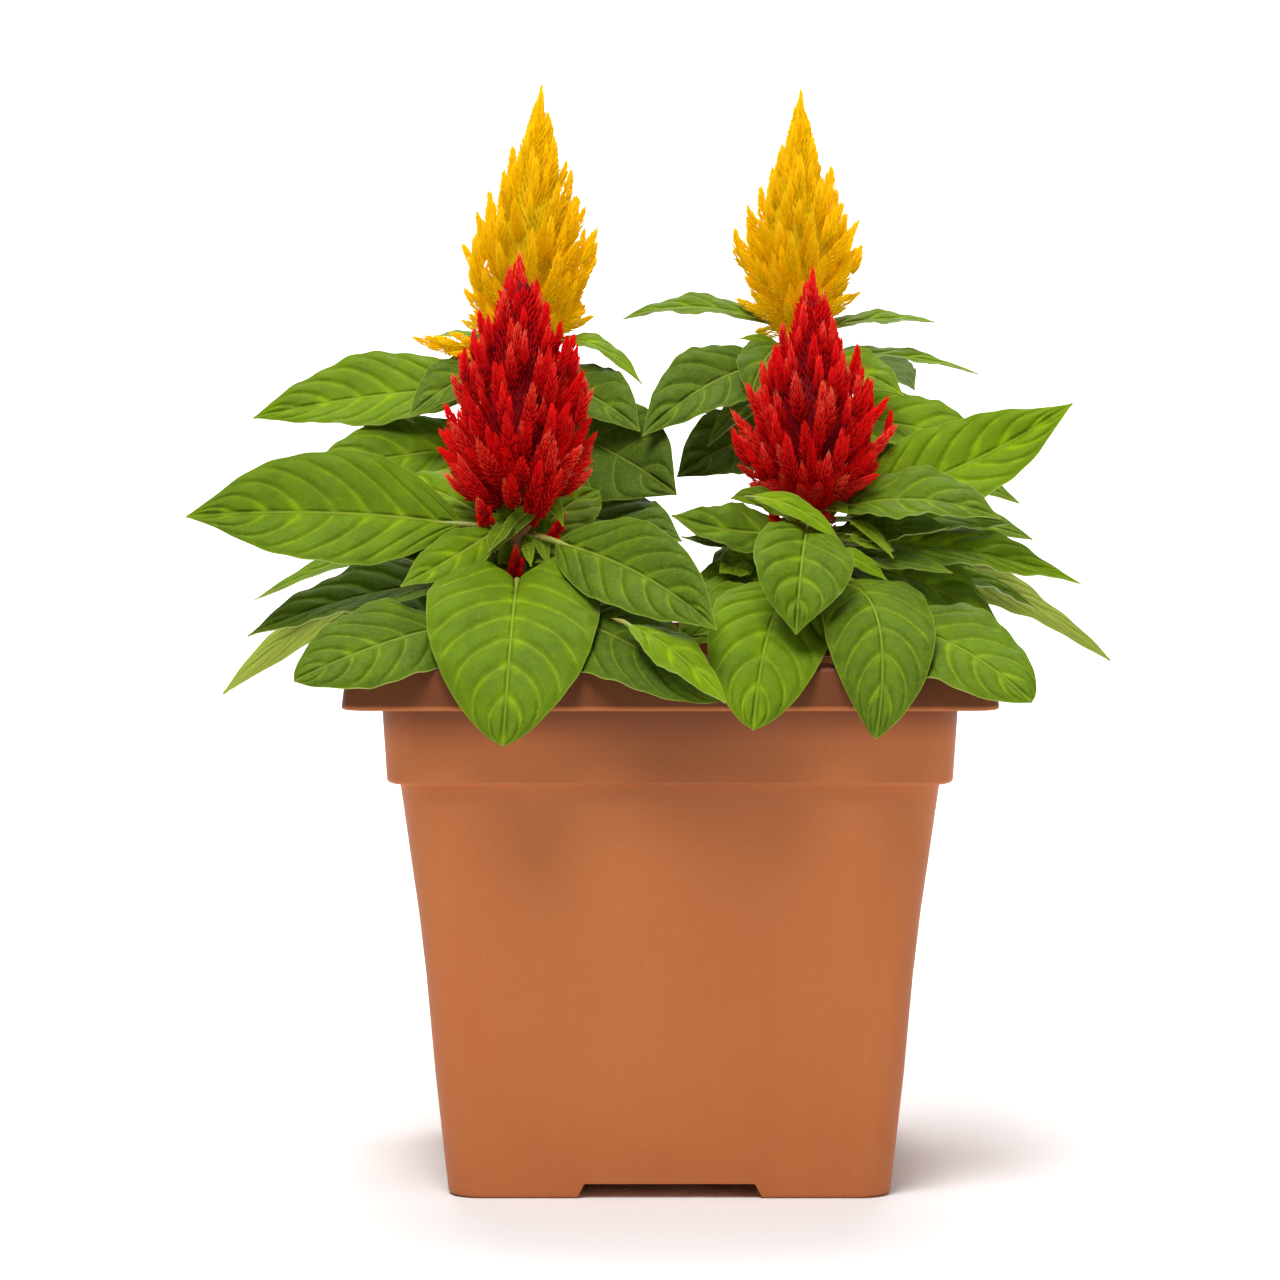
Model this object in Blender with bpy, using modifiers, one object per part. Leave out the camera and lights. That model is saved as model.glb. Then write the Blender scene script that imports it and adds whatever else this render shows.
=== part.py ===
"""Four plumed celosias, two red and two yellow, planted in a square plastic pot.

Metres, +Z up. The origin is on the floor under the middle of the pot, and -Y is the front.
"""
import itertools
import math
import random

import bmesh
import bpy
from mathutils import Matrix, Vector
from mathutils.bvhtree import BVHTree

MM = 0.001

# Pot: half widths and heights, in millimetres
POT_BODY = [(88.6, 0.0), (90.0, 1.5), (95.0, 50.0), (98.4, 91.0), (101.2, 117.0), (104.0, 138.0),
            (108.2, 170.0)]
POT_BAND = [(112.2, 170.4), (113.2, 171.6), (115.0, 201.4)]
POT_LIP = [(129.4, 201.6), (130.0, 202.4), (128.2, 217.4), (127.2, 218.5)]
LIP_TOP = 218.5
WALL = 2.4
FLOOR_TOP = 9.0
BODY_CORNER = 13.0
LIP_CORNER = 9.0
CORNER_STEPS = 3
FOOT_HEIGHT = 6.0
CHANNEL_TOP = 34.5
CHANNEL_BOTTOM = 38.0
DRAIN_RADIUS = 6.0
DRAIN_SPACING = 52.0

# Soil
SOIL_TOP = 200.0
SOIL_LUMP = 2.2
SOIL_RINGS = (86.0, 58.0, 28.0)
GAP = 0.3

# Stems: foot on the soil and top under the plume
STEM_SUNK = 160.0
STEM_RADIUS = (3.2, 2.5)
STEMS = {
    "front_left": ((-61.0, -58.0), (-62.0, -58.0, 281.0)),
    "front_right": ((57.0, -58.0), (58.0, -58.0, 280.0)),
    "back_left": ((-58.0, 58.0), (-62.0, 58.0, 343.0)),
    "back_right": ((55.0, 58.0), (55.0, 58.0, 351.0)),
}

# Leaves: node height on the stem, tip, blade width, turn of the blade to the front in degrees,
# rise and reach of its middle from the straight line, where along the blade it is widest, and the
# sideways bow of its middle, to the left as seen from the stem
LEAVES = {
    "front_left": [
        (268, (-197, -80, 276), 52, 60, 5, 0, 0.44, 0),
        (249, (-66, -151, 184), 69, 3, 20, 14, 0.43, 2),
        (268, (31, -142, 235), 39, 48, 6, 3, 0.42, 3),
        (276, (-108, -102, 252), 20, 40, 3, 0, 0.42, 0),
        (236, (-148, -150, 215), 42, 37, 5, 12, 0.43, 9),
        (236, (20, -148, 206), 42, 38, 16, 7, 0.42, -14),
        (248, (-174, -62, 226), 36, 28, 8, 0, 0.42, 0),
        (236, (14, -120, 222), 24, 20, 6, 0, 0.42, 0),
        (275, (-73, -88, 262), 9, 0, 2, 0, 0.45, 0),
        (256, (-122, -72, 264), 26, 50, 3, 0, 0.42, 0),
        (256, (-36, -78, 258), 10, 30, 2, 0, 0.45, 0),
        (246, (-108, 0, 240), 30, 10, 8, 0, 0.42, 0),
        (240, (-62, 8, 228), 32, 0, 10, 0, 0.42, 0),
        (256, (-28, -14, 284), 30, 30, 6, 0, 0.42, 0),
        (228, (-150, -40, 222), 42, 20, 12, 0, 0.42, 0),
        (228, (0, -70, 224), 40, 20, 8, 0, 0.42, 0),
        (264, (-116, -18, 288), 32, 25, 6, 0, 0.42, 0),
    ],
    "front_right": [
        (277, (167, -42, 322), 40, 58, -3, 0, 0.40, 0),
        (275, (133, -97, 276), 34, 32, 8, 0, 0.38, 0),
        (277, (49, -135, 231), 40, 14, 9, 16, 0.50, 1),
        (247, (79, -148, 190), 45, 2, 23, 16, 0.50, 9),
        (249, (32, -148, 194), 48, 16, 17, 10, 0.55, -1),
        (232, (142, -150, 209), 47, 25, 9, 7, 0.49, -3),
        (262, (173, -24, 245), 30, 35, 8, 0, 0.40, 0),
        (273, (0, -78, 286), 24, 50, 0, 0, 0.42, 0),
        (254, (141, -42, 222), 42, 40, 12, 0, 0.42, 0),
        (266, (24, -96, 284), 12, 55, 2, 0, 0.45, 0),
        (266, (112, -84, 272), 20, 40, 2, 0, 0.42, 0),
        (260, (114, -92, 254), 14, 30, 2, 0, 0.42, 0),
        (262, (86, -88, 250), 14, 0, 3, 4, 0.45, 0),
        (260, (162, 0, 232), 28, 30, 8, 0, 0.42, 0),
        (272, (143, -20, 270), 24, 40, 4, 0, 0.42, 0),
        (244, (58, 8, 228), 32, 0, 10, 0, 0.42, 0),
        (256, (14, -20, 250), 26, 20, 6, 0, 0.42, 0),
        (232, (2, -100, 228), 40, 30, 8, 0, 0.42, 0),
        (228, (146, -10, 220), 42, 10, 14, 0, 0.42, 0),
    ],
    "back_left": [
        (325, (-180, 48, 312), 44, 42, 4, 0, 0.42, 0),
        (302, (-154, 14, 291), 40, 42, 5, 0, 0.42, 0),
        (335, (-110, 10, 313), 26, 30, 10, 0, 0.42, 0),
        (338, (-10, 30, 326), 14, 15, 13, 0, 0.45, 0),
        (338, (-102, 74, 347), 10, 15, 8, 0, 0.45, 0),
        (310, (4, -8, 281), 46, 58, 5, 0, 0.52, 0),
        (323, (-8, 12, 304), 32, 35, 8, 0, 0.42, 0),
        (240, (-189, -8, 196), 26, 30, 22, 0, 0.45, 0),
        (272, (-175, -12, 237), 16, 20, 6, 0, 0.45, 0),
        (330, (-118, 138, 318), 38, 0, 9, 0, 0.42, 0),
        (302, (-70, 152, 262), 46, 0, 12, 6, 0.40, 0),
        (262, (-122, 150, 212), 46, 0, 18, 6, 0.42, 0),
        (250, (-36, 152, 204), 46, 0, 20, 12, 0.42, 0),
        (288, (-152, 98, 262), 42, -10, 10, 0, 0.42, 0),
        (276, (6, -36, 264), 34, 32, 4, 0, 0.45, 0),
        (322, (-28, 120, 318), 30, 0, 8, 0, 0.42, 0),
        (232, (-150, 84, 214), 44, 0, 16, 0, 0.42, 0),
        (236, (0, 66, 226), 40, 0, 10, 0, 0.42, 0),
    ],
    "back_right": [
        (347, (-21, 72, 354), 18, 25, 9, 0, 0.45, 0),
        (347, (117, 74, 353), 14, 20, 8, 0, 0.45, 0),
        (336, (-12, 0, 305), 36, 35, 9, 0, 0.42, 0),
        (344, (34, 10, 320), 24, 0, 8, 5, 0.42, 0),
        (338, (100, 18, 322), 22, 30, 4, 0, 0.42, 0),
        (338, (137, 84, 330), 14, 20, 5, 0, 0.45, 0),
        (314, (140, 36, 300), 34, 40, 3, 0, 0.42, 0),
        (244, (194, 58, 205), 30, 30, 22, 0, 0.45, 0),
        (306, (3, 30, 287), 34, 50, 5, 0, 0.42, 0),
        (322, (16, 24, 300), 14, 20, 8, 0, 0.45, 0),
        (294, (151, 24, 276), 30, 30, 8, 0, 0.42, 0),
        (278, (155, 6, 262), 30, 30, 8, 0, 0.42, 0),
        (332, (112, 138, 322), 38, 0, 9, 0, 0.42, 0),
        (304, (64, 152, 266), 46, 0, 12, 6, 0.40, 0),
        (262, (124, 150, 212), 46, 0, 18, 6, 0.42, 0),
        (250, (34, 152, 204), 46, 0, 20, 12, 0.42, 0),
        (284, (152, 102, 258), 42, -10, 10, 0, 0.42, 0),
        (320, (14, 126, 312), 30, 0, 8, 0, 0.42, 0),
        (232, (150, 108, 214), 44, 0, 16, 0, 0.42, 0),
        (244, (40, -14, 232), 36, 0, 10, 0, 0.42, 0),
    ],
}
STALK_SHARE = 0.17
STALK_HALF_WIDTH = 1.3
STALK_THICKNESS = 2.2
BLADE_THICKNESS = 1.0
BLADE_FULLNESS = 0.85
BLADE_FOLD = 0.22
DRAPED_FOLD = 0.18
DRAPED_TWIST = (0.15, 0.5)
BLADE_WAVE = 1.3
WAVES = 2.5
BLADE_ROWS = 6
NARROW_BLADE = 30
CLEARANCE = 1.3

# Plumes: foot, tip, greatest radius and the height share of it, how sharply the head closes below and
# above that, spikes, colour
PLUMES = {
    "plume_front_left": ((-62, -58, 281.3), (-61, -58, 382), 32.5, 0.28, 0.4, 0.62, 44, "red"),
    "plume_front_right": ((58, -58, 280.3), (58, -58, 376), 33.0, 0.40, 0.6, 1.0, 44, "red"),
    "plume_back_left": ((-62, 58, 343.3), (-54, 58, 455), 30.0, 0.42, 0.45, 1.15, 44, "yellow"),
    "plume_back_right": ((55, 58, 351.3), (57, 58, 453), 28.5, 0.42, 0.8, 1.35, 44, "yellow"),
}
SIDE_PLUME_FORM = (0.4, 0.6, 1.1)
# Side plumes: plant, branch height on the stem, foot, tip, greatest radius, spikes, colour
SIDE_PLUMES = {
    "side_plume_back_left": ("back_left", 334, (-79, 45, 341), (-110, 43, 347), 5.5, 7, "yellow"),
    "side_plume_front_left_1": ("front_left", 264, (-73, -66, 272), (-78, -69, 284), 4.0, 5, "red"),
    "side_plume_front_left_2": ("front_left", 266, (-56, -65, 272), (-52, -69, 280), 3.0, 4, "red"),
    "side_plume_front_left_3": ("front_left", 258, (-48, -66, 265), (-42, -69, 277), 3.0, 4, "red"),
    "side_plume_front_left_4": ("front_left", 245, (-62, -67, 251), (-62, -70, 265), 3.4, 5, "red"),
    "side_plume_front_right_1": ("front_right", 265, (45, -65, 271), (40, -69, 280), 3.0, 4, "red"),
    "side_plume_front_right_2": ("front_right", 255, (63, -66, 260), (67, -70, 270), 3.0, 4, "red"),
}
NECK_SHARE = 0.16
CORE_SHARE = 0.62
CORE_HEIGHT = 0.94
CORE_SIDES = (8, 7)
SMALL_CORE_SIDES = (6, 4)
GOLDEN_ANGLE = math.radians(137.508)

COLOURS = {
    "terracotta": (0.47, 0.15, 0.055),
    "peat": (0.035, 0.02, 0.012),
    "leaf": (0.13, 0.32, 0.03),
    "red": (0.56, 0.008, 0.01),
    "yellow": (0.86, 0.46, 0.01),
}


def clear_scene():
    for item in list(bpy.data.objects):
        bpy.data.objects.remove(item, do_unlink=True)


def make_collection(name):
    collection = bpy.data.collections.new(name)
    bpy.context.scene.collection.children.link(collection)
    return collection


def make_material(name, roughness):
    material = bpy.data.materials.new(name)
    material.use_nodes = True
    shader = material.node_tree.nodes["Principled BSDF"]
    shader.inputs["Base Color"].default_value = (*COLOURS[name], 1.0)
    shader.inputs["Roughness"].default_value = roughness
    shader.inputs["Metallic"].default_value = 0.0
    return material


def object_from_bmesh(name, bm, collection, material=None):
    mesh = bpy.data.meshes.new(name)
    bm.to_mesh(mesh)
    bm.free()
    item = bpy.data.objects.new(name, mesh)
    if material:
        mesh.materials.append(material)
    collection.objects.link(item)
    return item


def metres(point):
    return Vector(point) * MM


# Rounded squares, extruded ring by ring
def square_ring(half, corner, height):
    points = []
    for quarter in range(4):
        for step in range(CORNER_STEPS + 1):
            angle = math.pi / 2 * (quarter + step / CORNER_STEPS)
            sign_x = 1 if quarter in (0, 3) else -1
            sign_y = 1 if quarter in (0, 1) else -1
            across = sign_x * (half - corner) + corner * math.cos(angle)
            along = sign_y * (half - corner) + corner * math.sin(angle)
            points.append((across, along, height))
    return [metres(point) for point in points]


def loft(rings):
    bm = bmesh.new()
    count = len(rings[0])
    made = bmesh.ops.create_circle(bm, cap_ends=True, segments=count, radius=1.0)
    loop = made["verts"]
    for vert, point in zip(loop, rings[0]):
        vert.co = point
    for ring in rings[1:]:
        edges = [edge for edge in bm.edges if all(vert in loop for vert in edge.verts)]
        grown = bmesh.ops.extrude_edge_only(bm, edges=edges)
        fresh = [item for item in grown["geom"] if isinstance(item, bmesh.types.BMVert)]
        loop = sorted(fresh, key=lambda vert: min(range(count), key=lambda i: (vert.co - loop[i].co).length))
        for vert, point in zip(loop, ring):
            vert.co = point
    bmesh.ops.contextual_create(bm, geom=loop)
    bmesh.ops.recalc_face_normals(bm, faces=bm.faces)
    return bm


def pot_rings():
    outer = [square_ring(half, BODY_CORNER, height) for half, height in POT_BODY + POT_BAND]
    lip = [square_ring(half, LIP_CORNER, height) for half, height in POT_LIP]
    inner_lip = LIP_CORNER - WALL
    inner_body = BODY_CORNER - WALL
    lip_low, band_low, body_top = POT_LIP[0][1], POT_BAND[1][1], POT_BODY[-1]
    inner = [
        square_ring(POT_LIP[-1][0] - WALL * 0.8, inner_lip, LIP_TOP),
        square_ring(POT_LIP[1][0] - WALL, inner_lip, lip_low + WALL),
        square_ring(POT_BAND[-1][0] - WALL, inner_body, lip_low + WALL),
        square_ring(POT_BAND[1][0] - WALL, inner_body, band_low + WALL),
        square_ring(body_top[0] - WALL, inner_body, band_low + WALL),
    ]
    for half, height in reversed(POT_BODY[2:-1:2]):
        inner.append(square_ring(half - WALL, inner_body, height))
    inner.append(square_ring(POT_BODY[1][0] - WALL, inner_body, FLOOR_TOP))
    return outer + lip + inner


def channel_cutter(name, turned, collection):
    reach = POT_BODY[-1][0] * MM * 1.3
    bm = bmesh.new()
    bmesh.ops.create_cube(bm, size=1.0)
    for vert in bm.verts:
        top = vert.co.z > 0
        half = (CHANNEL_TOP if top else CHANNEL_BOTTOM) * MM
        height = FOOT_HEIGHT * MM if top else -FOOT_HEIGHT * MM * 0.15
        vert.co = Vector((math.copysign(half, vert.co.x), math.copysign(reach, vert.co.y), height))
    cutter = object_from_bmesh(name, bm, collection)
    if turned:
        cutter.data.transform(Matrix.Rotation(math.radians(90), 4, "Z"))
    return cutter


def drain_cutters(collection):
    cutters = []
    places = [(0, 0)] + [(DRAIN_SPACING * x, DRAIN_SPACING * y) for x, y in ((1, 0), (-1, 0), (0, 1), (0, -1))]
    for number, (x, y) in enumerate(places):
        bm = bmesh.new()
        bmesh.ops.create_cone(
            bm, cap_ends=True, segments=12, radius1=DRAIN_RADIUS * MM, radius2=DRAIN_RADIUS * MM,
            depth=FLOOR_TOP * MM * 3, matrix=Matrix.Translation(metres((x, y, FOOT_HEIGHT))))
        cutters.append(object_from_bmesh(f"drain_cutter_{number}", bm, collection))
    return cutters


def cut(item, cutters):
    for cutter in cutters:
        cutter.hide_render = True
        cutter.display_type = "WIRE"
        modifier = item.modifiers.new(cutter.name, "BOOLEAN")
        modifier.operation = "DIFFERENCE"
        modifier.solver = "EXACT"
        modifier.object = cutter


def build_pot(parts, cutters, material):
    pot = object_from_bmesh("pot", loft(pot_rings()), parts, material)
    channels = [channel_cutter(f"channel_cutter_{turned}", turned, cutters) for turned in (0, 1)]
    cut(pot, channels + drain_cutters(cutters))
    return pot


def build_soil(parts, cutters, material):
    """Peat that fills the pot to a little below its lip, lumpy on top, with a plain hole for each stem."""
    rings = []
    inner_body = BODY_CORNER - WALL
    floor = [(POT_BODY[1][0], FLOOR_TOP + GAP)]
    inset = WALL + GAP
    for half, height in floor + POT_BODY[2:-1:2] + [(POT_BODY[-1][0], POT_BAND[1][1] + WALL + GAP)]:
        rings.append(square_ring(half - inset, inner_body, height))
    rings.append(square_ring(POT_BAND[1][0] - inset, inner_body, POT_BAND[1][1] + WALL + GAP))
    slope = (SOIL_TOP - POT_BAND[1][1]) / (POT_BAND[-1][1] - POT_BAND[1][1])
    edge = POT_BAND[1][0] + slope * (POT_BAND[-1][0] - POT_BAND[1][0])
    rings.append(square_ring(edge - inset, inner_body, SOIL_TOP - SOIL_LUMP))
    draw = random.Random(3)
    for half in SOIL_RINGS:
        ring = square_ring(half, half * 0.4, SOIL_TOP)
        rings.append([point + Vector((0, 0, draw.uniform(-1, 1) * SOIL_LUMP * MM)) for point in ring])
    bm = loft(rings)
    bmesh.ops.triangulate(bm, faces=[face for face in bm.faces if len(face.verts) > 3])
    soil = object_from_bmesh("soil", bm, parts, material)
    holes = []
    for plant in STEMS:
        low, high = (stem_point(plant, height) for height in (STEM_SUNK - 2 * GAP, SOIL_TOP + 4 * SOIL_LUMP))
        radius = STEM_RADIUS[0] + GAP
        holes.append(bar(f"stem_hole_{plant}", low, high, (radius, radius), 8, cutters))
    cut(soil, holes)
    return soil


# Leaves
class Leaf:
    """One leaf's line from its node to its tip, and its blade across that line."""

    def __init__(self, plant, row, phase):
        self.plant = plant
        self.node, tip, self.width, face, self.rise, self.reach, self.belly, self.bow = row
        self.root = stem_point(plant, self.node)
        self.tip = Vector(tip)
        self.face = math.radians(face)
        self.phase = phase
        self.lift = 0.0
        self.turn = 0.0

    def line(self):
        root = self.root + Vector((0, 0, self.lift * 0.3))
        out = Matrix.Rotation(math.radians(self.turn), 3, "Z") @ (self.tip - self.root)
        tip = self.root + out + Vector((0, 0, self.lift))
        flat = Vector((out.x, out.y, 0)).normalized()
        left = Vector((-flat.y, flat.x, 0))
        middle = (root + tip) / 2 + Vector((0, 0, self.rise)) + flat * self.reach + left * self.bow
        return root, 2 * middle - (root + tip) / 2, tip

    def half_width(self, share):
        """Half the width at a share of the whole leaf's length, in millimetres."""
        if share <= STALK_SHARE:
            return STALK_HALF_WIDTH
        along = (share - STALK_SHARE) / (1 - STALK_SHARE)
        power = math.log(0.5) / math.log(self.belly)
        blade = self.width / 2 * math.sin(math.pi * along ** power) ** BLADE_FULLNESS
        return max(STALK_HALF_WIDTH * (1 - 0.6 * along), blade)

    def point(self, share, side):
        """The place at a share of the length and at side, from -1 at one edge to 1 at the other."""
        start, control, end = self.line()
        rest = 1 - share
        centre = start * rest * rest + control * 2 * share * rest + end * share * share
        ahead = ((control - start) * rest + (end - control) * share).normalized()
        across = ahead.cross(Vector((0, 0, 1))).normalized()
        up = across.cross(ahead)
        turn = self.face * (-1 if end.x > start.x else 1)
        if end.z < LIP_TOP:
            eased = min(1.0, max(0.0, (share - DRAPED_TWIST[0]) / (DRAPED_TWIST[1] - DRAPED_TWIST[0])))
            turn *= eased * eased * (3 - 2 * eased)
        side_way = across * math.cos(turn) + up * math.sin(turn)
        normal = up * math.cos(turn) - across * math.sin(turn)
        half = self.half_width(share)
        along = max(0.0, (share - STALK_SHARE) / (1 - STALK_SHARE))
        wave = math.sin(math.tau * WAVES * along + self.phase + (math.pi if side < 0 else 0))
        fold = BLADE_FOLD if end.z > LIP_TOP else DRAPED_FOLD * (1 - 2 * along)
        bend = fold * abs(side) * (half - STALK_HALF_WIDTH)
        bend += wave * BLADE_WAVE * abs(side) * math.sin(math.pi * min(1.0, along))
        return centre + side_way * side * half + normal * bend

    def rows(self):
        count = BLADE_ROWS if self.width > NARROW_BLADE else BLADE_ROWS - 2
        blade = [STALK_SHARE + (1 - STALK_SHARE) * (i / count) ** 1.1 for i in range(count + 1)]
        return [0.0] + blade

    def slab(self, margin, skip):
        """A closed slab round the blade, for telling which leaves touch."""
        sections = []
        for share in self.rows()[skip:]:
            edge, middle, other = (self.point(share, side) for side in (-1, 0, 1))
            normal = (other - edge).cross(self.point(min(1.0, share + 0.01), 0) - self.point(share - 0.01, 0))
            offset = normal.normalized() * margin
            sections.append([edge + offset, middle + offset, other + offset,
                             other - offset, middle - offset, edge - offset])
        points = [point for section in sections for point in section]
        faces = []
        for row in range(len(sections) - 1):
            for corner in range(6):
                a, b = row * 6 + corner, row * 6 + (corner + 1) % 6
                faces.append((a, b, b + 6, a + 6))
        for end in (0, len(points) - 6):
            faces += [(end, end + 1, end + 4, end + 5), (end + 1, end + 2, end + 3, end + 4)]
        return BVHTree.FromPolygons(points, faces)


def stem_point(plant, height):
    (x, y), top = STEMS[plant]
    share = (height - STEM_SUNK) / (top[2] - STEM_SUNK)
    return Vector((x + (top[0] - x) * share, y + (top[1] - y) * share, height))


def solid_tree(rings):
    """A tree of the side faces of stacked rings of points."""
    count = len(rings[0])
    points = [point for ring in rings for point in ring]
    faces = []
    for row in range(len(rings) - 1):
        for corner in range(count):
            a, b = row * count + corner, row * count + (corner + 1) % count
            faces.append((a, b, b + count, a + count))
    return BVHTree.FromPolygons(points, faces)


def round_ring(centre, radius, sides):
    turns = [math.tau * i / sides for i in range(sides)]
    return [centre + Vector((radius * math.cos(turn), radius * math.sin(turn), 0)) for turn in turns]


def plume_radius(share, greatest, widest, below, above):
    """The plume's outer radius at a share of its height."""
    neck = NECK_SHARE * greatest
    if share < widest:
        return neck + (greatest - neck) * math.sin(math.pi / 2 * share / widest) ** below
    return greatest * (1 - (share - widest) / (1 - widest)) ** above


def obstacles():
    """The trees that a leaf keeps clear of: the pot's lip, the soil, and each plant's stem and plumes."""
    band_inside, lip_inside = POT_BAND[-1][0] - WALL, POT_LIP[-1][0] - WALL
    shelf = POT_LIP[0][1] + 2 * WALL
    profile = [(band_inside, SOIL_TOP - 4 * WALL), (band_inside, shelf), (lip_inside, shelf), (lip_inside, LIP_TOP)]
    profile += [POT_LIP[-1], POT_LIP[1], (POT_BAND[-1][0], POT_LIP[0][1]), POT_BODY[-1]]
    lip = [[point / MM for point in square_ring(half, LIP_CORNER, height)] for half, height in profile]
    soil = [[point / MM for point in square_ring(half, LIP_CORNER, SOIL_TOP + SOIL_LUMP + 1)]
            for half in (POT_BAND[-1][0], 10)]
    shared = [solid_tree(lip), solid_tree(soil)]
    stems = {}
    for plant, (_, top) in STEMS.items():
        stems[plant] = solid_tree([round_ring(stem_point(plant, height), STEM_RADIUS[0] + 1.5, 8)
                                   for height in (STEM_SUNK, top[2])])
    for foot, tip, *form, _, _ in PLUMES.values():
        rings = []
        for step in range(9):
            share = step / 8
            centre = Vector(foot).lerp(Vector(tip), share)
            rings.append(round_ring(centre, plume_radius(share, *form) + 0.5, 12))
        shared.append(solid_tree(rings))
    for _, _, foot, tip, greatest, *_ in SIDE_PLUMES.values():
        rings = [round_ring(Vector(foot).lerp(Vector(tip), share), greatest * size + 0.5, 8)
                 for share, size in ((0, 0.5), (0.4, 1), (1, 0.2))]
        shared.append(solid_tree(rings))
    return shared, stems


def settle_leaves():
    """Places every leaf, and lifts or turns it a little where it would touch what stands there already."""
    shared, stems = obstacles()
    draw = random.Random(11)
    moves = list(itertools.product(range(-15, 31, 3), range(-4, 13, 4), range(-16, 17, 4)))
    moves.sort(key=lambda move: (abs(move[0]) + abs(move[1]) * 0.6 + abs(move[2]) * 0.9, move))
    leaves = [Leaf(plant, row, draw.uniform(0, math.tau)) for plant, rows in LEAVES.items() for row in rows]
    # Those that hang over the pot's edge come first
    leaves.sort(key=lambda leaf: leaf.tip.z > LIP_TOP)
    settled = []
    for leaf in leaves:
        rise = leaf.rise
        for lift, extra, turn in moves:
            leaf.lift, leaf.rise, leaf.turn = lift, rise + extra, turn
            whole = leaf.slab(CLEARANCE, 0)
            blade = leaf.slab(CLEARANCE, 2)
            hit = any(whole.overlap(tree) for tree in shared)
            hit = hit or any(whole.overlap(tree) for plant, tree in stems.items() if plant != leaf.plant)
            for other in settled:
                same = other.plant == leaf.plant
                hit = hit or bool(blade.overlap(other.blade) if same else whole.overlap(other.whole))
            if not hit:
                break
        else:
            leaf.lift, leaf.rise, leaf.turn = 0.0, rise, 0.0
            print("leaf not clear", leaf.plant, leaf.node, leaf.tip)
        leaf.whole, leaf.blade = leaf.slab(0.4, 0), leaf.slab(0.4, 2)
        settled.append(leaf)
    return settled


def leaf_object(leaf, name, collection):
    """The blade's middle surface, warped from a grid, with a wall that is thickest along the midrib."""
    shares = leaf.rows()
    bm = bmesh.new()
    bmesh.ops.create_grid(bm, x_segments=2, y_segments=len(shares) - 1, size=1.0)
    weights = []
    bm.verts.index_update()
    for vert in bm.verts:
        side = round(vert.co.x)
        row = round((vert.co.y + 1) / 2 * (len(shares) - 1))
        thick = STALK_THICKNESS if row < 2 else BLADE_THICKNESS + (0.5 if side == 0 else 0.0)
        weights.append(thick / STALK_THICKNESS)
        vert.co = leaf.point(shares[row], side) * MM
    bmesh.ops.triangulate(bm, faces=bm.faces)
    item = object_from_bmesh(name, bm, collection)
    group = item.vertex_groups.new(name="thickness")
    for index, weight in enumerate(weights):
        group.add([index], weight, "REPLACE")
    wall = item.modifiers.new("wall", "SOLIDIFY")
    wall.thickness = STALK_THICKNESS * MM
    wall.offset = 0.0
    wall.vertex_group = group.name
    return item


def bar(name, start, end, radii, sides, collection):
    """A tapered round bar from start to end, in millimetres."""
    way = Vector(end) - Vector(start)
    place = Matrix.Translation(metres((Vector(start) + Vector(end)) / 2))
    bm = bmesh.new()
    bmesh.ops.create_cone(
        bm, cap_ends=True, segments=sides, radius1=radii[0] * MM, radius2=radii[1] * MM,
        depth=way.length * MM, matrix=place @ way.to_track_quat("Z", "Y").to_matrix().to_4x4())
    return object_from_bmesh(name, bm, collection)


def baked(item, name, collection, material):
    """The item as a plain mesh object, with its modifiers applied."""
    shown = bpy.context.evaluated_depsgraph_get()
    mesh = bpy.data.meshes.new_from_object(item.evaluated_get(shown))
    result = bpy.data.objects.new(name, mesh)
    mesh.name = name
    mesh.materials.clear()
    mesh.materials.append(material)
    collection.objects.link(result)
    return result


def grow_together(name, trunk, pieces, parts, material):
    """One solid of the trunk and all that grows from it."""
    union = trunk.modifiers.new("grown", "BOOLEAN")
    union.operation = "UNION"
    union.operand_type = "COLLECTION"
    union.collection = pieces
    union.solver = "EXACT"
    bpy.context.view_layer.update()
    result = baked(trunk, name, parts, material)
    for item in list(pieces.objects) + [trunk]:
        bpy.data.objects.remove(item, do_unlink=True)
    bpy.data.collections.remove(pieces)
    return result


def build_plant(plant, leaves, parts, guides, material):
    (x, y), top = STEMS[plant]
    stem = bar(f"stem_{plant}", (x, y, STEM_SUNK), (top[0], top[1], top[2] - GAP), STEM_RADIUS, 8, guides)
    pieces = make_collection(f"grown_{plant}")
    for number, leaf in enumerate(leaves):
        leaf_object(leaf, f"leaf_{plant}_{number}", pieces)
    for name, (owner, height, foot, tip, *_) in SIDE_PLUMES.items():
        if owner == plant:
            end = Vector(foot) - (Vector(foot) - stem_point(plant, height)).normalized() * 2 * GAP
            bar(f"branch_{name}", stem_point(plant, height), end, (1.6, 1.2), 6, pieces)
    return grow_together(f"plant_{plant}", stem, pieces, parts, material)


def spike(name, root, tip, width, collection):
    """One feathery spike: a four-sided spindle, fullest below its middle, sunk in the core at its root."""
    way = Vector(tip) - Vector(root)
    bm = bmesh.new()
    bmesh.ops.create_uvsphere(bm, u_segments=4, v_segments=3, radius=1.0)
    for vert in bm.verts:
        height = vert.co.z
        swell = 1.0 if height < 0 else 0.78
        vert.co.x *= width / 2 * swell
        vert.co.y *= width / 2 * swell
        vert.co.z = way.length * (0.5 + height / 2)
    turn = way.to_track_quat("Z", "Y").to_matrix().to_4x4()
    bm.transform(Matrix.Scale(MM, 4) @ Matrix.Translation(root) @ turn)
    return object_from_bmesh(name, bm, collection)


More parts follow.
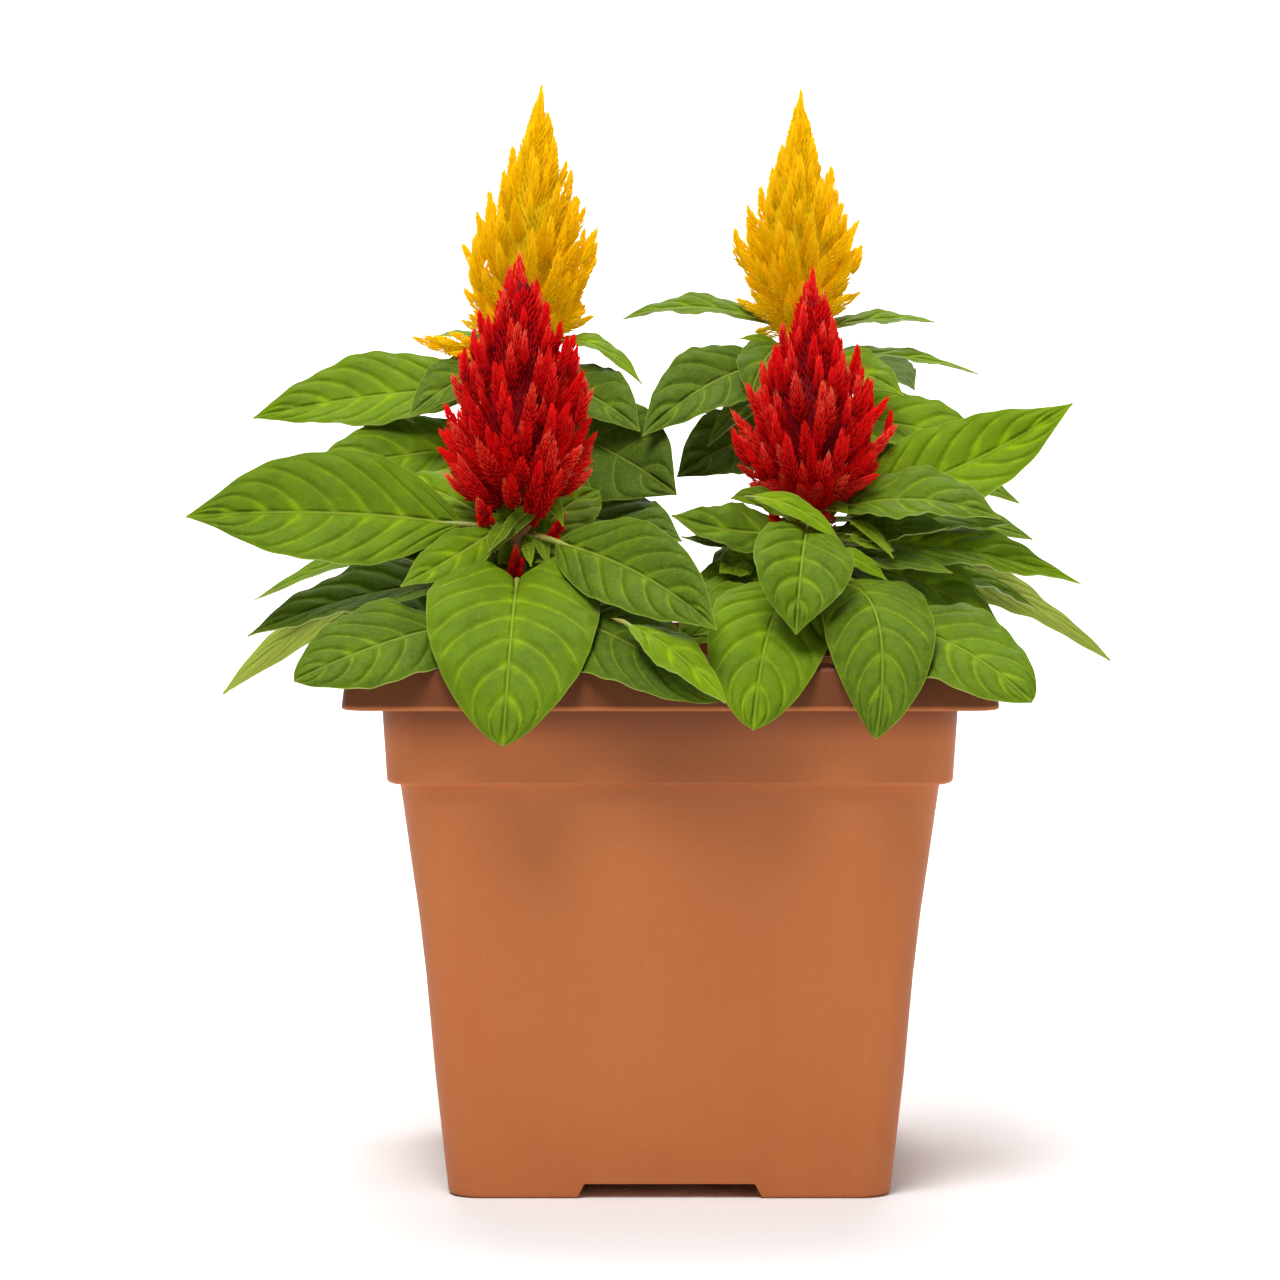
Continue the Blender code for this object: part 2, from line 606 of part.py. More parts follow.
def build_plume(name, foot, tip, form, spikes, parts, guides, material):
    """A flame-shaped head: spikes by the golden angle, leaning out below and upright above, on a core."""
    foot, tip = Vector(foot), Vector(tip)
    height, greatest = (tip - foot).length, form[0]
    bm = bmesh.new()
    rounds, levels = CORE_SIDES if greatest > 10 else SMALL_CORE_SIDES
    bmesh.ops.create_uvsphere(bm, u_segments=rounds, v_segments=levels, radius=1.0)
    for vert in bm.verts:
        share = 0.5 + vert.co.z / 2
        flat = Vector((vert.co.x, vert.co.y, 0))
        radius = plume_radius(share * CORE_HEIGHT, *form) * CORE_SHARE
        centre = foot.lerp(tip, share * CORE_HEIGHT)
        if flat.length > 0.01:
            centre += flat.normalized() * radius
        vert.co = centre * MM
    core = object_from_bmesh(f"core_{name}", bm, guides)
    pieces = make_collection(f"spikes_{name}")
    draw = random.Random(name)
    for number in range(spikes):
        place = (number + 0.5) / spikes
        share = 0.16 + 0.84 * (1 - (1 - place) ** 0.62)
        angle = GOLDEN_ANGLE * number
        lean = math.radians(46 - 38 * share)
        length = min(height * 0.28, greatest * 0.95) * (1 - 0.35 * share) * draw.uniform(0.9, 1.15)
        outward = Vector((math.cos(angle), math.sin(angle), 0))
        end = foot.lerp(tip, share) + outward * plume_radius(share, *form) * draw.uniform(0.92, 1.05)
        low = min(max(share - length * math.cos(lean) / height, 0.06), CORE_HEIGHT - 0.1)
        root = foot.lerp(tip, low) + outward * plume_radius(low, *form) * CORE_SHARE * 0.7
        spike(f"spike_{name}_{number}", root, end, length * 0.36, pieces)
    return grow_together(name, core, pieces, parts, material)


def main():
    clear_scene()
    parts = make_collection("potted_plumed_celosia")
    cutters = make_collection("cutters")
    guides = make_collection("guides")
    terracotta, peat = make_material("terracotta", 0.55), make_material("peat", 0.95)
    leaf_green = make_material("leaf", 0.5)
    petals = {"red": make_material("red", 0.7), "yellow": make_material("yellow", 0.7)}
    build_pot(parts, cutters, terracotta)
    build_soil(parts, cutters, peat)
    leaves = settle_leaves()
    for plant in STEMS:
        build_plant(plant, [leaf for leaf in leaves if leaf.plant == plant], parts, guides, leaf_green)
    for name, (foot, tip, *form, spikes, colour) in PLUMES.items():
        build_plume(name, foot, tip, form, spikes, parts, guides, petals[colour])
    for name, (_, _, foot, tip, greatest, spikes, colour) in SIDE_PLUMES.items():
        build_plume(name, foot, tip, (greatest, *SIDE_PLUME_FORM), spikes, parts, guides, petals[colour])
    bpy.data.collections.remove(guides)


main()
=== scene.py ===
"""A square terracotta-coloured pot of four plumed celosias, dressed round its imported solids.

Blender works in metres with +Z up, and the plants' own sizes are in millimetres. -Y is the front.
"""

import itertools
import math
import random

import bmesh
import bpy
import numpy as np
from mathutils import Matrix, Vector, noise
from mathutils.bvhtree import BVHTree


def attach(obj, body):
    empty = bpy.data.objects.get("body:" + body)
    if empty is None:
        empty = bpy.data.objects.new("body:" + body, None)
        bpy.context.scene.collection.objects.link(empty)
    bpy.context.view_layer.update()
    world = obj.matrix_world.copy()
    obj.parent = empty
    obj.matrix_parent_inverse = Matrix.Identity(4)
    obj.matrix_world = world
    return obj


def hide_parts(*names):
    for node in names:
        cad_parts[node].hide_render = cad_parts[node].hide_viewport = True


bl_info = {
    "name": "Potted plumed celosia",
    "version": (1, 0, 0),
    "blender": (4, 5, 0),
    "location": "3D View > Sidebar > Celosia",
    "description": "Grows four plumed celosias in a square pot round the packed solids",
    "category": "Object",
}

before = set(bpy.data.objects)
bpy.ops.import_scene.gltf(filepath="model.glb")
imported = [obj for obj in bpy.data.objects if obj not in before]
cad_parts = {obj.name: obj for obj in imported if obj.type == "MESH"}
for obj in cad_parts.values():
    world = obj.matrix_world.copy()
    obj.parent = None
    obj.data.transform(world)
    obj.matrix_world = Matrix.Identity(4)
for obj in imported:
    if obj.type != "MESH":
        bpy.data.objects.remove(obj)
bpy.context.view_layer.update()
MM = 0.001

# Pot: half widths and heights, in millimetres
POT_BODY = [(88.6, 0.0), (90.0, 1.5), (95.0, 50.0), (98.4, 91.0), (101.2, 117.0), (104.0, 138.0),
            (108.2, 170.0)]
POT_BAND = [(112.2, 170.4), (113.2, 171.6), (115.0, 201.4)]
POT_LIP = [(129.4, 201.6), (130.0, 202.4), (128.2, 217.4), (127.2, 218.5)]
LIP_TOP = 218.5
WALL = 2.4
FLOOR_TOP = 9.0
BODY_CORNER = 13.0
LIP_CORNER = 9.0
CORNER_STEPS = 3
FINE_CORNER_STEPS = 10
FOOT_HEIGHT = 6.0
CHANNEL_TOP = 34.5
CHANNEL_BOTTOM = 38.0
DRAIN_RADIUS = 6.0
DRAIN_SPACING = 52.0

# Soil
SOIL_TOP = 200.0
SOIL_LUMP = 2.2
PEAT_STEP = 2.4
PEAT_SIDE_CUTS = 28
PEAT_HEAP = 2.4
GAP = 0.3

# Stems: foot on the soil and top under the plume
STEM_SUNK = 160.0
STEM_RADIUS = (3.2, 2.5)
STEMS = {
    "front_left": ((-61.0, -58.0), (-62.0, -58.0, 281.0)),
    "front_right": ((57.0, -58.0), (58.0, -58.0, 280.0)),
    "back_left": ((-58.0, 58.0), (-62.0, 58.0, 343.0)),
    "back_right": ((55.0, 58.0), (55.0, 58.0, 351.0)),
}

# Leaves: node height on the stem, tip, blade width, turn of the blade to the front in degrees,
# rise and reach of its middle from the straight line, where along the blade it is widest, and the
# sideways bow of its middle, to the left as seen from the stem
LEAVES = {
    "front_left": [
        (268, (-197, -80, 276), 52, 60, 5, 0, 0.44, 0),
        (249, (-66, -151, 184), 69, 3, 20, 14, 0.43, 2),
        (268, (31, -142, 235), 39, 48, 6, 3, 0.42, 3),
        (276, (-108, -102, 252), 20, 40, 3, 0, 0.42, 0),
        (236, (-148, -150, 215), 42, 37, 5, 12, 0.43, 9),
        (236, (20, -148, 206), 42, 38, 16, 7, 0.42, -14),
        (248, (-174, -62, 226), 36, 28, 8, 0, 0.42, 0),
        (236, (14, -120, 222), 24, 20, 6, 0, 0.42, 0),
        (275, (-73, -88, 262), 9, 0, 2, 0, 0.45, 0),
        (256, (-122, -72, 264), 26, 50, 3, 0, 0.42, 0),
        (256, (-36, -78, 258), 10, 30, 2, 0, 0.45, 0),
        (246, (-108, 0, 240), 30, 10, 8, 0, 0.42, 0),
        (240, (-62, 8, 228), 32, 0, 10, 0, 0.42, 0),
        (256, (-28, -14, 284), 30, 30, 6, 0, 0.42, 0),
        (228, (-150, -40, 222), 42, 20, 12, 0, 0.42, 0),
        (228, (0, -70, 224), 40, 20, 8, 0, 0.42, 0),
        (264, (-116, -18, 288), 32, 25, 6, 0, 0.42, 0),
    ],
    "front_right": [
        (277, (167, -42, 322), 40, 58, -3, 0, 0.40, 0),
        (275, (133, -97, 276), 34, 32, 8, 0, 0.38, 0),
        (277, (49, -135, 231), 40, 14, 9, 16, 0.50, 1),
        (247, (79, -148, 190), 45, 2, 23, 16, 0.50, 9),
        (249, (32, -148, 194), 48, 16, 17, 10, 0.55, -1),
        (232, (142, -150, 209), 47, 25, 9, 7, 0.49, -3),
        (262, (173, -24, 245), 30, 35, 8, 0, 0.40, 0),
        (273, (0, -78, 286), 24, 50, 0, 0, 0.42, 0),
        (254, (141, -42, 222), 42, 40, 12, 0, 0.42, 0),
        (266, (24, -96, 284), 12, 55, 2, 0, 0.45, 0),
        (266, (112, -84, 272), 20, 40, 2, 0, 0.42, 0),
        (260, (114, -92, 254), 14, 30, 2, 0, 0.42, 0),
        (262, (86, -88, 250), 14, 0, 3, 4, 0.45, 0),
        (260, (162, 0, 232), 28, 30, 8, 0, 0.42, 0),
        (272, (143, -20, 270), 24, 40, 4, 0, 0.42, 0),
        (244, (58, 8, 228), 32, 0, 10, 0, 0.42, 0),
        (256, (14, -20, 250), 26, 20, 6, 0, 0.42, 0),
        (232, (2, -100, 228), 40, 30, 8, 0, 0.42, 0),
        (228, (146, -10, 220), 42, 10, 14, 0, 0.42, 0),
    ],
    "back_left": [
        (325, (-180, 48, 312), 44, 42, 4, 0, 0.42, 0),
        (302, (-154, 14, 291), 40, 42, 5, 0, 0.42, 0),
        (335, (-110, 10, 313), 26, 30, 10, 0, 0.42, 0),
        (338, (-10, 30, 326), 14, 15, 13, 0, 0.45, 0),
        (338, (-102, 74, 347), 10, 15, 8, 0, 0.45, 0),
        (310, (4, -8, 281), 46, 58, 5, 0, 0.52, 0),
        (323, (-8, 12, 304), 32, 35, 8, 0, 0.42, 0),
        (240, (-189, -8, 196), 26, 30, 22, 0, 0.45, 0),
        (272, (-175, -12, 237), 16, 20, 6, 0, 0.45, 0),
        (330, (-118, 138, 318), 38, 0, 9, 0, 0.42, 0),
        (302, (-70, 152, 262), 46, 0, 12, 6, 0.40, 0),
        (262, (-122, 150, 212), 46, 0, 18, 6, 0.42, 0),
        (250, (-36, 152, 204), 46, 0, 20, 12, 0.42, 0),
        (288, (-152, 98, 262), 42, -10, 10, 0, 0.42, 0),
        (276, (6, -36, 264), 34, 32, 4, 0, 0.45, 0),
        (322, (-28, 120, 318), 30, 0, 8, 0, 0.42, 0),
        (232, (-150, 84, 214), 44, 0, 16, 0, 0.42, 0),
        (236, (0, 66, 226), 40, 0, 10, 0, 0.42, 0),
    ],
    "back_right": [
        (347, (-21, 72, 354), 18, 25, 9, 0, 0.45, 0),
        (347, (117, 74, 353), 14, 20, 8, 0, 0.45, 0),
        (336, (-12, 0, 305), 36, 35, 9, 0, 0.42, 0),
        (344, (34, 10, 320), 24, 0, 8, 5, 0.42, 0),
        (338, (100, 18, 322), 22, 30, 4, 0, 0.42, 0),
        (338, (137, 84, 330), 14, 20, 5, 0, 0.45, 0),
        (314, (140, 36, 300), 34, 40, 3, 0, 0.42, 0),
        (244, (194, 58, 205), 30, 30, 22, 0, 0.45, 0),
        (306, (3, 30, 287), 34, 50, 5, 0, 0.42, 0),
        (322, (16, 24, 300), 14, 20, 8, 0, 0.45, 0),
        (294, (151, 24, 276), 30, 30, 8, 0, 0.42, 0),
        (278, (155, 6, 262), 30, 30, 8, 0, 0.42, 0),
        (332, (112, 138, 322), 38, 0, 9, 0, 0.42, 0),
        (304, (64, 152, 266), 46, 0, 12, 6, 0.40, 0),
        (262, (124, 150, 212), 46, 0, 18, 6, 0.42, 0),
        (250, (34, 152, 204), 46, 0, 20, 12, 0.42, 0),
        (284, (152, 102, 258), 42, -10, 10, 0, 0.42, 0),
        (320, (14, 126, 312), 30, 0, 8, 0, 0.42, 0),
        (232, (150, 108, 214), 44, 0, 16, 0, 0.42, 0),
        (244, (40, -14, 232), 36, 0, 10, 0, 0.42, 0),
    ],
}
STALK_SHARE = 0.17
STALK_HALF_WIDTH = 1.3
BLADE_FULLNESS = 0.85
BLADE_FOLD = 0.22
DRAPED_FOLD = 0.18
DRAPED_TWIST = (0.15, 0.5)
BLADE_WAVE = 1.3
WAVES = 2.5
BLADE_ROWS = 6
NARROW_BLADE = 30
CLEARANCE = 1.3

# Plumes: foot, tip, greatest radius and the height share of it, how sharply the head closes below and
# above that, spikes, colour
PLUMES = {
    "plume_front_left": ((-62, -58, 281.3), (-61, -58, 382), 32.5, 0.28, 0.4, 0.62, 44, "red"),
    "plume_front_right": ((58, -58, 280.3), (58, -58, 376), 33.0, 0.40, 0.6, 1.0, 44, "red"),
    "plume_back_left": ((-62, 58, 343.3), (-54, 58, 455), 30.0, 0.42, 0.45, 1.15, 44, "yellow"),
    "plume_back_right": ((55, 58, 351.3), (57, 58, 453), 28.5, 0.42, 0.8, 1.35, 44, "yellow"),
}
SIDE_PLUME_FORM = (0.4, 0.6, 1.1)
# Side plumes: plant, branch height on the stem, foot, tip, greatest radius, spikes, colour
SIDE_PLUMES = {
    "side_plume_back_left": ("back_left", 334, (-79, 45, 341), (-110, 43, 347), 5.5, 7, "yellow"),
    "side_plume_front_left_1": ("front_left", 264, (-73, -66, 272), (-78, -69, 284), 4.0, 5, "red"),
    "side_plume_front_left_2": ("front_left", 266, (-56, -65, 272), (-52, -69, 280), 3.0, 4, "red"),
    "side_plume_front_left_3": ("front_left", 258, (-48, -66, 265), (-42, -69, 277), 3.0, 4, "red"),
    "side_plume_front_left_4": ("front_left", 245, (-62, -67, 251), (-62, -70, 265), 3.4, 5, "red"),
    "side_plume_front_right_1": ("front_right", 265, (45, -65, 271), (40, -69, 280), 3.0, 4, "red"),
    "side_plume_front_right_2": ("front_right", 255, (63, -66, 260), (67, -70, 270), 3.0, 4, "red"),
}
NECK_SHARE = 0.16
CORE_SHARE = 0.62
CORE_HEIGHT = 0.94
GOLDEN_ANGLE = math.radians(137.508)


def ring_points(half, corner, height, steps=FINE_CORNER_STEPS):
    """A rounded square as a numpy array, in millimetres."""
    turns = (np.arange(4)[:, None] + np.arange(steps + 1)[None, :] / steps) * math.pi / 2
    sign_x = np.array([1, -1, -1, 1])[:, None]
    sign_y = np.array([1, 1, -1, -1])[:, None]
    across = sign_x * (half - corner) + corner * np.cos(turns)
    back = sign_y * (half - corner) + corner * np.sin(turns)
    return np.stack([across.ravel(), back.ravel(), np.full(across.size, float(height))], axis=1)


# Leaves
class Leaf:
    """One leaf's line from its node to its tip, and its blade across that line."""

    def __init__(self, plant, row, phase):
        self.plant = plant
        self.node, tip, self.width, face, self.rise, self.reach, self.belly, self.bow = row
        self.root = stem_point(plant, self.node)
        self.tip = Vector(tip)
        self.face = math.radians(face)
        self.phase = phase
        self.lift = 0.0
        self.turn = 0.0

    def line(self):
        root = self.root + Vector((0, 0, self.lift * 0.3))
        out = Matrix.Rotation(math.radians(self.turn), 3, "Z") @ (self.tip - self.root)
        tip = self.root + out + Vector((0, 0, self.lift))
        flat = Vector((out.x, out.y, 0)).normalized()
        left = Vector((-flat.y, flat.x, 0))
        middle = (root + tip) / 2 + Vector((0, 0, self.rise)) + flat * self.reach + left * self.bow
        return root, 2 * middle - (root + tip) / 2, tip

    def draped(self):
        return self.tip.z + self.lift < LIP_TOP

    def half_width(self, share):
        """Half the width at a share of the whole leaf's length, in millimetres."""
        if share <= STALK_SHARE:
            return STALK_HALF_WIDTH
        along = (share - STALK_SHARE) / (1 - STALK_SHARE)
        power = math.log(0.5) / math.log(self.belly)
        blade = self.width / 2 * math.sin(math.pi * along ** power) ** BLADE_FULLNESS
        return max(STALK_HALF_WIDTH * (1 - 0.6 * along), blade)

    def cross_section(self, share):
        """The middle of the leaf at a share of its length, and the ways ahead, sideways and out of it."""
        start, control, end = self.line()
        rest = 1 - share
        centre = start * rest * rest + control * 2 * share * rest + end * share * share
        ahead = ((control - start) * rest + (end - control) * share).normalized()
        across = ahead.cross(Vector((0, 0, 1))).normalized()
        up = across.cross(ahead)
        turn = self.face * (-1 if end.x > start.x else 1)
        if end.z < LIP_TOP:
            eased = min(1.0, max(0.0, (share - DRAPED_TWIST[0]) / (DRAPED_TWIST[1] - DRAPED_TWIST[0])))
            turn *= eased * eased * (3 - 2 * eased)
        side_way = across * math.cos(turn) + up * math.sin(turn)
        normal = up * math.cos(turn) - across * math.sin(turn)
        return centre, ahead, side_way, normal

    def fold(self, along):
        return DRAPED_FOLD * (1 - 2 * along) if self.line()[2].z <= LIP_TOP else BLADE_FOLD

    def point(self, share, side):
        """The place at a share of the length and at side, from -1 at one edge to 1 at the other."""
        centre, _, side_way, normal = self.cross_section(share)
        half = self.half_width(share)
        along = max(0.0, (share - STALK_SHARE) / (1 - STALK_SHARE))
        wave = math.sin(math.tau * WAVES * along + self.phase + (math.pi if side < 0 else 0))
        bend = self.fold(along) * abs(side) * (half - STALK_HALF_WIDTH)
        bend += wave * BLADE_WAVE * abs(side) * math.sin(math.pi * min(1.0, along))
        return centre + side_way * side * half + normal * bend

    def rows(self):
        count = BLADE_ROWS if self.width > NARROW_BLADE else BLADE_ROWS - 2
        blade = [STALK_SHARE + (1 - STALK_SHARE) * (i / count) ** 1.1 for i in range(count + 1)]
        return [0.0] + blade

    def slab(self, margin, skip):
        """A closed slab round the blade, for telling which leaves touch."""
        sections = []
        for share in self.rows()[skip:]:
            edge, middle, other = (self.point(share, side) for side in (-1, 0, 1))
            ahead = self.point(min(1.0, share + 0.01), 0) - self.point(share - 0.01, 0)
            offset = (other - edge).cross(ahead).normalized() * margin
            sections.append([edge + offset, middle + offset, other + offset,
                             other - offset, middle - offset, edge - offset])
        points = [point for section in sections for point in section]
        faces = []
        for row in range(len(sections) - 1):
            for corner in range(6):
                a, b = row * 6 + corner, row * 6 + (corner + 1) % 6
                faces.append((a, b, b + 6, a + 6))
        for end in (0, len(points) - 6):
            faces += [(end, end + 1, end + 4, end + 5), (end + 1, end + 2, end + 3, end + 4)]
        return BVHTree.FromPolygons(points, faces)


def stem_point(plant, height):
    (x, y), top = STEMS[plant]
    share = (height - STEM_SUNK) / (top[2] - STEM_SUNK)
    return Vector((x + (top[0] - x) * share, y + (top[1] - y) * share, height))


def solid_tree(rings):
    """A tree of the side faces of stacked rings of points."""
    count = len(rings[0])
    points = [point for ring in rings for point in ring]
    faces = []
    for row in range(len(rings) - 1):
        for corner in range(count):
            a, b = row * count + corner, row * count + (corner + 1) % count
            faces.append((a, b, b + count, a + count))
    return BVHTree.FromPolygons(points, faces)


def round_ring(centre, radius, sides):
    turns = [math.tau * i / sides for i in range(sides)]
    return [centre + Vector((radius * math.cos(turn), radius * math.sin(turn), 0)) for turn in turns]


def plume_radius(share, greatest, widest, below, above):
    """The plume's outer radius at a share of its height."""
    neck = NECK_SHARE * greatest
    if share < widest:
        return neck + (greatest - neck) * math.sin(math.pi / 2 * share / widest) ** below
    return greatest * (1 - (share - widest) / (1 - widest)) ** above


def coarse_ring(half, height):
    return [Vector(point) for point in ring_points(half, LIP_CORNER, height, CORNER_STEPS)]


def obstacles():
    """The trees that a leaf keeps clear of: the pot's lip, the soil, and each plant's stem and plumes."""
    band_inside, lip_inside = POT_BAND[-1][0] - WALL, POT_LIP[-1][0] - WALL
    shelf = POT_LIP[0][1] + 2 * WALL
    profile = [(band_inside, SOIL_TOP - 4 * WALL), (band_inside, shelf)]
    profile += [(lip_inside, shelf), (lip_inside, LIP_TOP)]
    profile += [POT_LIP[-1], POT_LIP[1], (POT_BAND[-1][0], POT_LIP[0][1]), POT_BODY[-1]]
    lip = [coarse_ring(half, height) for half, height in profile]
    soil = [coarse_ring(half, SOIL_TOP + SOIL_LUMP + 1) for half in (POT_BAND[-1][0], 10)]
    shared = [solid_tree(lip), solid_tree(soil)]
    stems = {}
    for plant, (_, top) in STEMS.items():
        stems[plant] = solid_tree([round_ring(stem_point(plant, height), STEM_RADIUS[0] + 1.5, 8)
                                   for height in (STEM_SUNK, top[2])])
    for foot, tip, *form, _, _ in PLUMES.values():
        rings = []
        for step in range(9):
            share = step / 8
            centre = Vector(foot).lerp(Vector(tip), share)
            rings.append(round_ring(centre, plume_radius(share, *form) + 0.5, 12))
        shared.append(solid_tree(rings))
    for _, _, foot, tip, greatest, *_ in SIDE_PLUMES.values():
        rings = [round_ring(Vector(foot).lerp(Vector(tip), share), greatest * size + 0.5, 8)
                 for share, size in ((0, 0.5), (0.4, 1), (1, 0.2))]
        shared.append(solid_tree(rings))
    return shared, stems


def settle_leaves():
    """Places every leaf, and lifts or turns it a little where it would touch what stands there already."""
    shared, stems = obstacles()
    draw = random.Random(11)
    moves = list(itertools.product(range(-15, 31, 3), range(-4, 13, 4), range(-16, 17, 4)))
    moves.sort(key=lambda move: (abs(move[0]) + abs(move[1]) * 0.6 + abs(move[2]) * 0.9, move))
    leaves = [Leaf(plant, row, draw.uniform(0, math.tau)) for plant, rows in LEAVES.items() for row in rows]
    # Those that hang over the pot's edge come first
    leaves.sort(key=lambda leaf: leaf.tip.z > LIP_TOP)
    settled = []
    for leaf in leaves:
        rise = leaf.rise
        for lift, extra, turn in moves:
            leaf.lift, leaf.rise, leaf.turn = lift, rise + extra, turn
            whole = leaf.slab(CLEARANCE, 0)
            blade = leaf.slab(CLEARANCE, 2)
            hit = any(whole.overlap(tree) for tree in shared)
            hit = hit or any(whole.overlap(tree) for plant, tree in stems.items() if plant != leaf.plant)
            for other in settled:
                same = other.plant == leaf.plant
                hit = hit or bool(blade.overlap(other.blade) if same else whole.overlap(other.whole))
            if not hit:
                break
        else:
            leaf.lift, leaf.rise, leaf.turn = 0.0, rise, 0.0
        leaf.whole, leaf.blade = leaf.slab(0.4, 0), leaf.slab(0.4, 2)
        settled.append(leaf)
    return settled


# Settings that a user would change
def distance(name, description, default, low=0.0, high=1.0):
    return bpy.props.FloatProperty(name=name, description=description, default=default, min=low,
                                   max=high, subtype="DISTANCE", unit="LENGTH", precision=4)


def colour(name, description, default):
    return bpy.props.FloatVectorProperty(name=name, description=description, default=default,
                                         min=0.0, max=1.0, size=3, subtype="COLOR")


def level(name, description, default, high=1.0):
    return bpy.props.FloatProperty(name=name, description=description, default=default, min=0.0, max=high)


def amount(name, description, default, low=0, high=10000):
    return bpy.props.IntProperty(name=name, description=description, default=default, min=low, max=high)


class PotSettings(bpy.types.PropertyGroup):
    plastic: colour("Plastic", "Colour of the moulded pot", (0.53, 0.160, 0.044))
    plastic_deep: colour("Deep plastic", "A darker tone that drifts through it", (0.46, 0.125, 0.034))
    # This colour is painted shade, on the lip and upper band and in the painted shadow below the lip
    painted_shade: colour("Damp plastic", "The darker lip, stained by damp peat and handling", (0.165, 0.046, 0.013))
    edge_round: distance("Edge rounding", "Radius of the pot's moulded edges", 0.0006, 0.0001, 0.003)


class SoilSettings(bpy.types.PropertyGroup):
    peat: colour("Peat", "Colour of the dry crumbs", (0.060, 0.034, 0.020))
    peat_wet: colour("Wet peat", "Colour of the moist hollows", (0.016, 0.009, 0.006))
    crumb: distance("Crumb", "Size of a middling crumb", 0.0024, 0.0005, 0.006)
    crumbs: amount("Crumbs", "How many loose crumbs lie on the peat", 900)


class LeafSettings(bpy.types.PropertyGroup):
    blade: distance("Blade thickness", "Thickness of a leaf blade", 0.0005, 0.0002, 0.002)
    quilt: distance("Quilting", "How far the blade swells between its side veins", 0.0013, 0.0, 0.003)
    green: colour("Green", "Green of the blade between its veins", (0.142, 0.238, 0.006))
    green_deep: colour("Deep green", "Green of old and shaded leaves", (0.064, 0.108, 0.012))
    green_young: colour("Young green", "Yellow-green beside the veins", (0.235, 0.370, 0.003))
    vein: colour("Vein", "Colour of the midrib and side veins", (0.400, 0.440, 0.055))
    underside: colour("Underside", "Pale green of the lower face", (0.255, 0.370, 0.130))
    stem: colour("Stem", "Green of the stems", (0.250, 0.330, 0.070))
    stem_flush: colour("Stem flush", "Red flush along the stems", (0.480, 0.120, 0.070))


class PlumeSettings(bpy.types.PropertyGroup):
    floret: distance("Floret", "Length of a middling floret", 0.0052, 0.001, 0.012)
    floret_width: distance("Floret width", "Width of a middling floret", 0.0013, 0.0004, 0.004)
    florets: amount("Florets", "Florets on a middling plumelet", 120, 10, 400)
    fillers: amount("Small plumelets", "Plumelets that fill in between the large ones", 150, 0, 300)
    red: colour("Red", "Body colour of the red plumes", (0.820, 0.004, 0.005))
    # The deep colours are painted shade down inside the heads; the yellow's is also the green gold of its
    # inner florets
    red_deep: colour("Deep red", "Colour down between the red florets", (0.140, 0.000, 0.003))
    red_tip: colour("Red tip", "Coral colour of the lit floret tips", (0.950, 0.250, 0.120))
    yellow: colour("Yellow", "Body colour of the yellow plumes", (0.960, 0.600, 0.001))
    yellow_deep: colour("Deep yellow", "Green gold down between the yellow florets", (0.580, 0.400, 0.001))
    yellow_tip: colour("Yellow tip", "Colour of the lit yellow tips", (0.980, 0.680, 0.020))


class StageSettings(bpy.types.PropertyGroup):
    floor: colour("Floor", "Colour of the paper sweep", (0.86, 0.86, 0.86))
    key: level("Key light", "Power of the large soft light over the front left", 44.0, 500.0)
    fill: level("Fill light", "Power of the soft light on the right", 3.0, 500.0)
    top: level("Top light", "Power of the soft light overhead", 7.0, 500.0)
    back: level("Backdrop light", "Power of the soft lights behind the plants", 60.0, 500.0)
    sky: level("Surrounding light", "Strength of the even light from all round", 0.15, 10.0)


SETTINGS = {"pot": PotSettings, "soil": SoilSettings, "leaf": LeafSettings, "plume": PlumeSettings,
            "stage": StageSettings}


def settings(name):
    return getattr(bpy.context.scene, f"celosia_{name}")


# Material nodes
class Shade:
    """A socket of a material. Python's arithmetic on it adds a Math node for each step."""

    def __init__(self, finish, socket):
        self.finish, self.socket = finish, socket

    def math(self, operation, *values):
        return self.finish.node("ShaderNodeMath", {"operation": operation}, dict(enumerate(values)))

    def __add__(self, other):
        return self.math("ADD", self, other)

    def __radd__(self, other):
        return self.math("ADD", other, self)

    def __sub__(self, other):
        return self.math("SUBTRACT", self, other)

    def __rsub__(self, other):
        return self.math("SUBTRACT", other, self)

    def __mul__(self, other):
        return self.math("MULTIPLY", self, other)

    def __rmul__(self, other):
        return self.math("MULTIPLY", other, self)

    def __abs__(self):
        return self.math("ABSOLUTE", self)

    def fraction(self):
        return self.math("FRACT", self)

    def smooth(self, low, high):
        """Eases from 0 at low to 1 at high."""
        return self.finish.node("ShaderNodeMapRange", {"interpolation_type": "SMOOTHSTEP"},
                                {"Value": self, "From Min": low, "From Max": high})


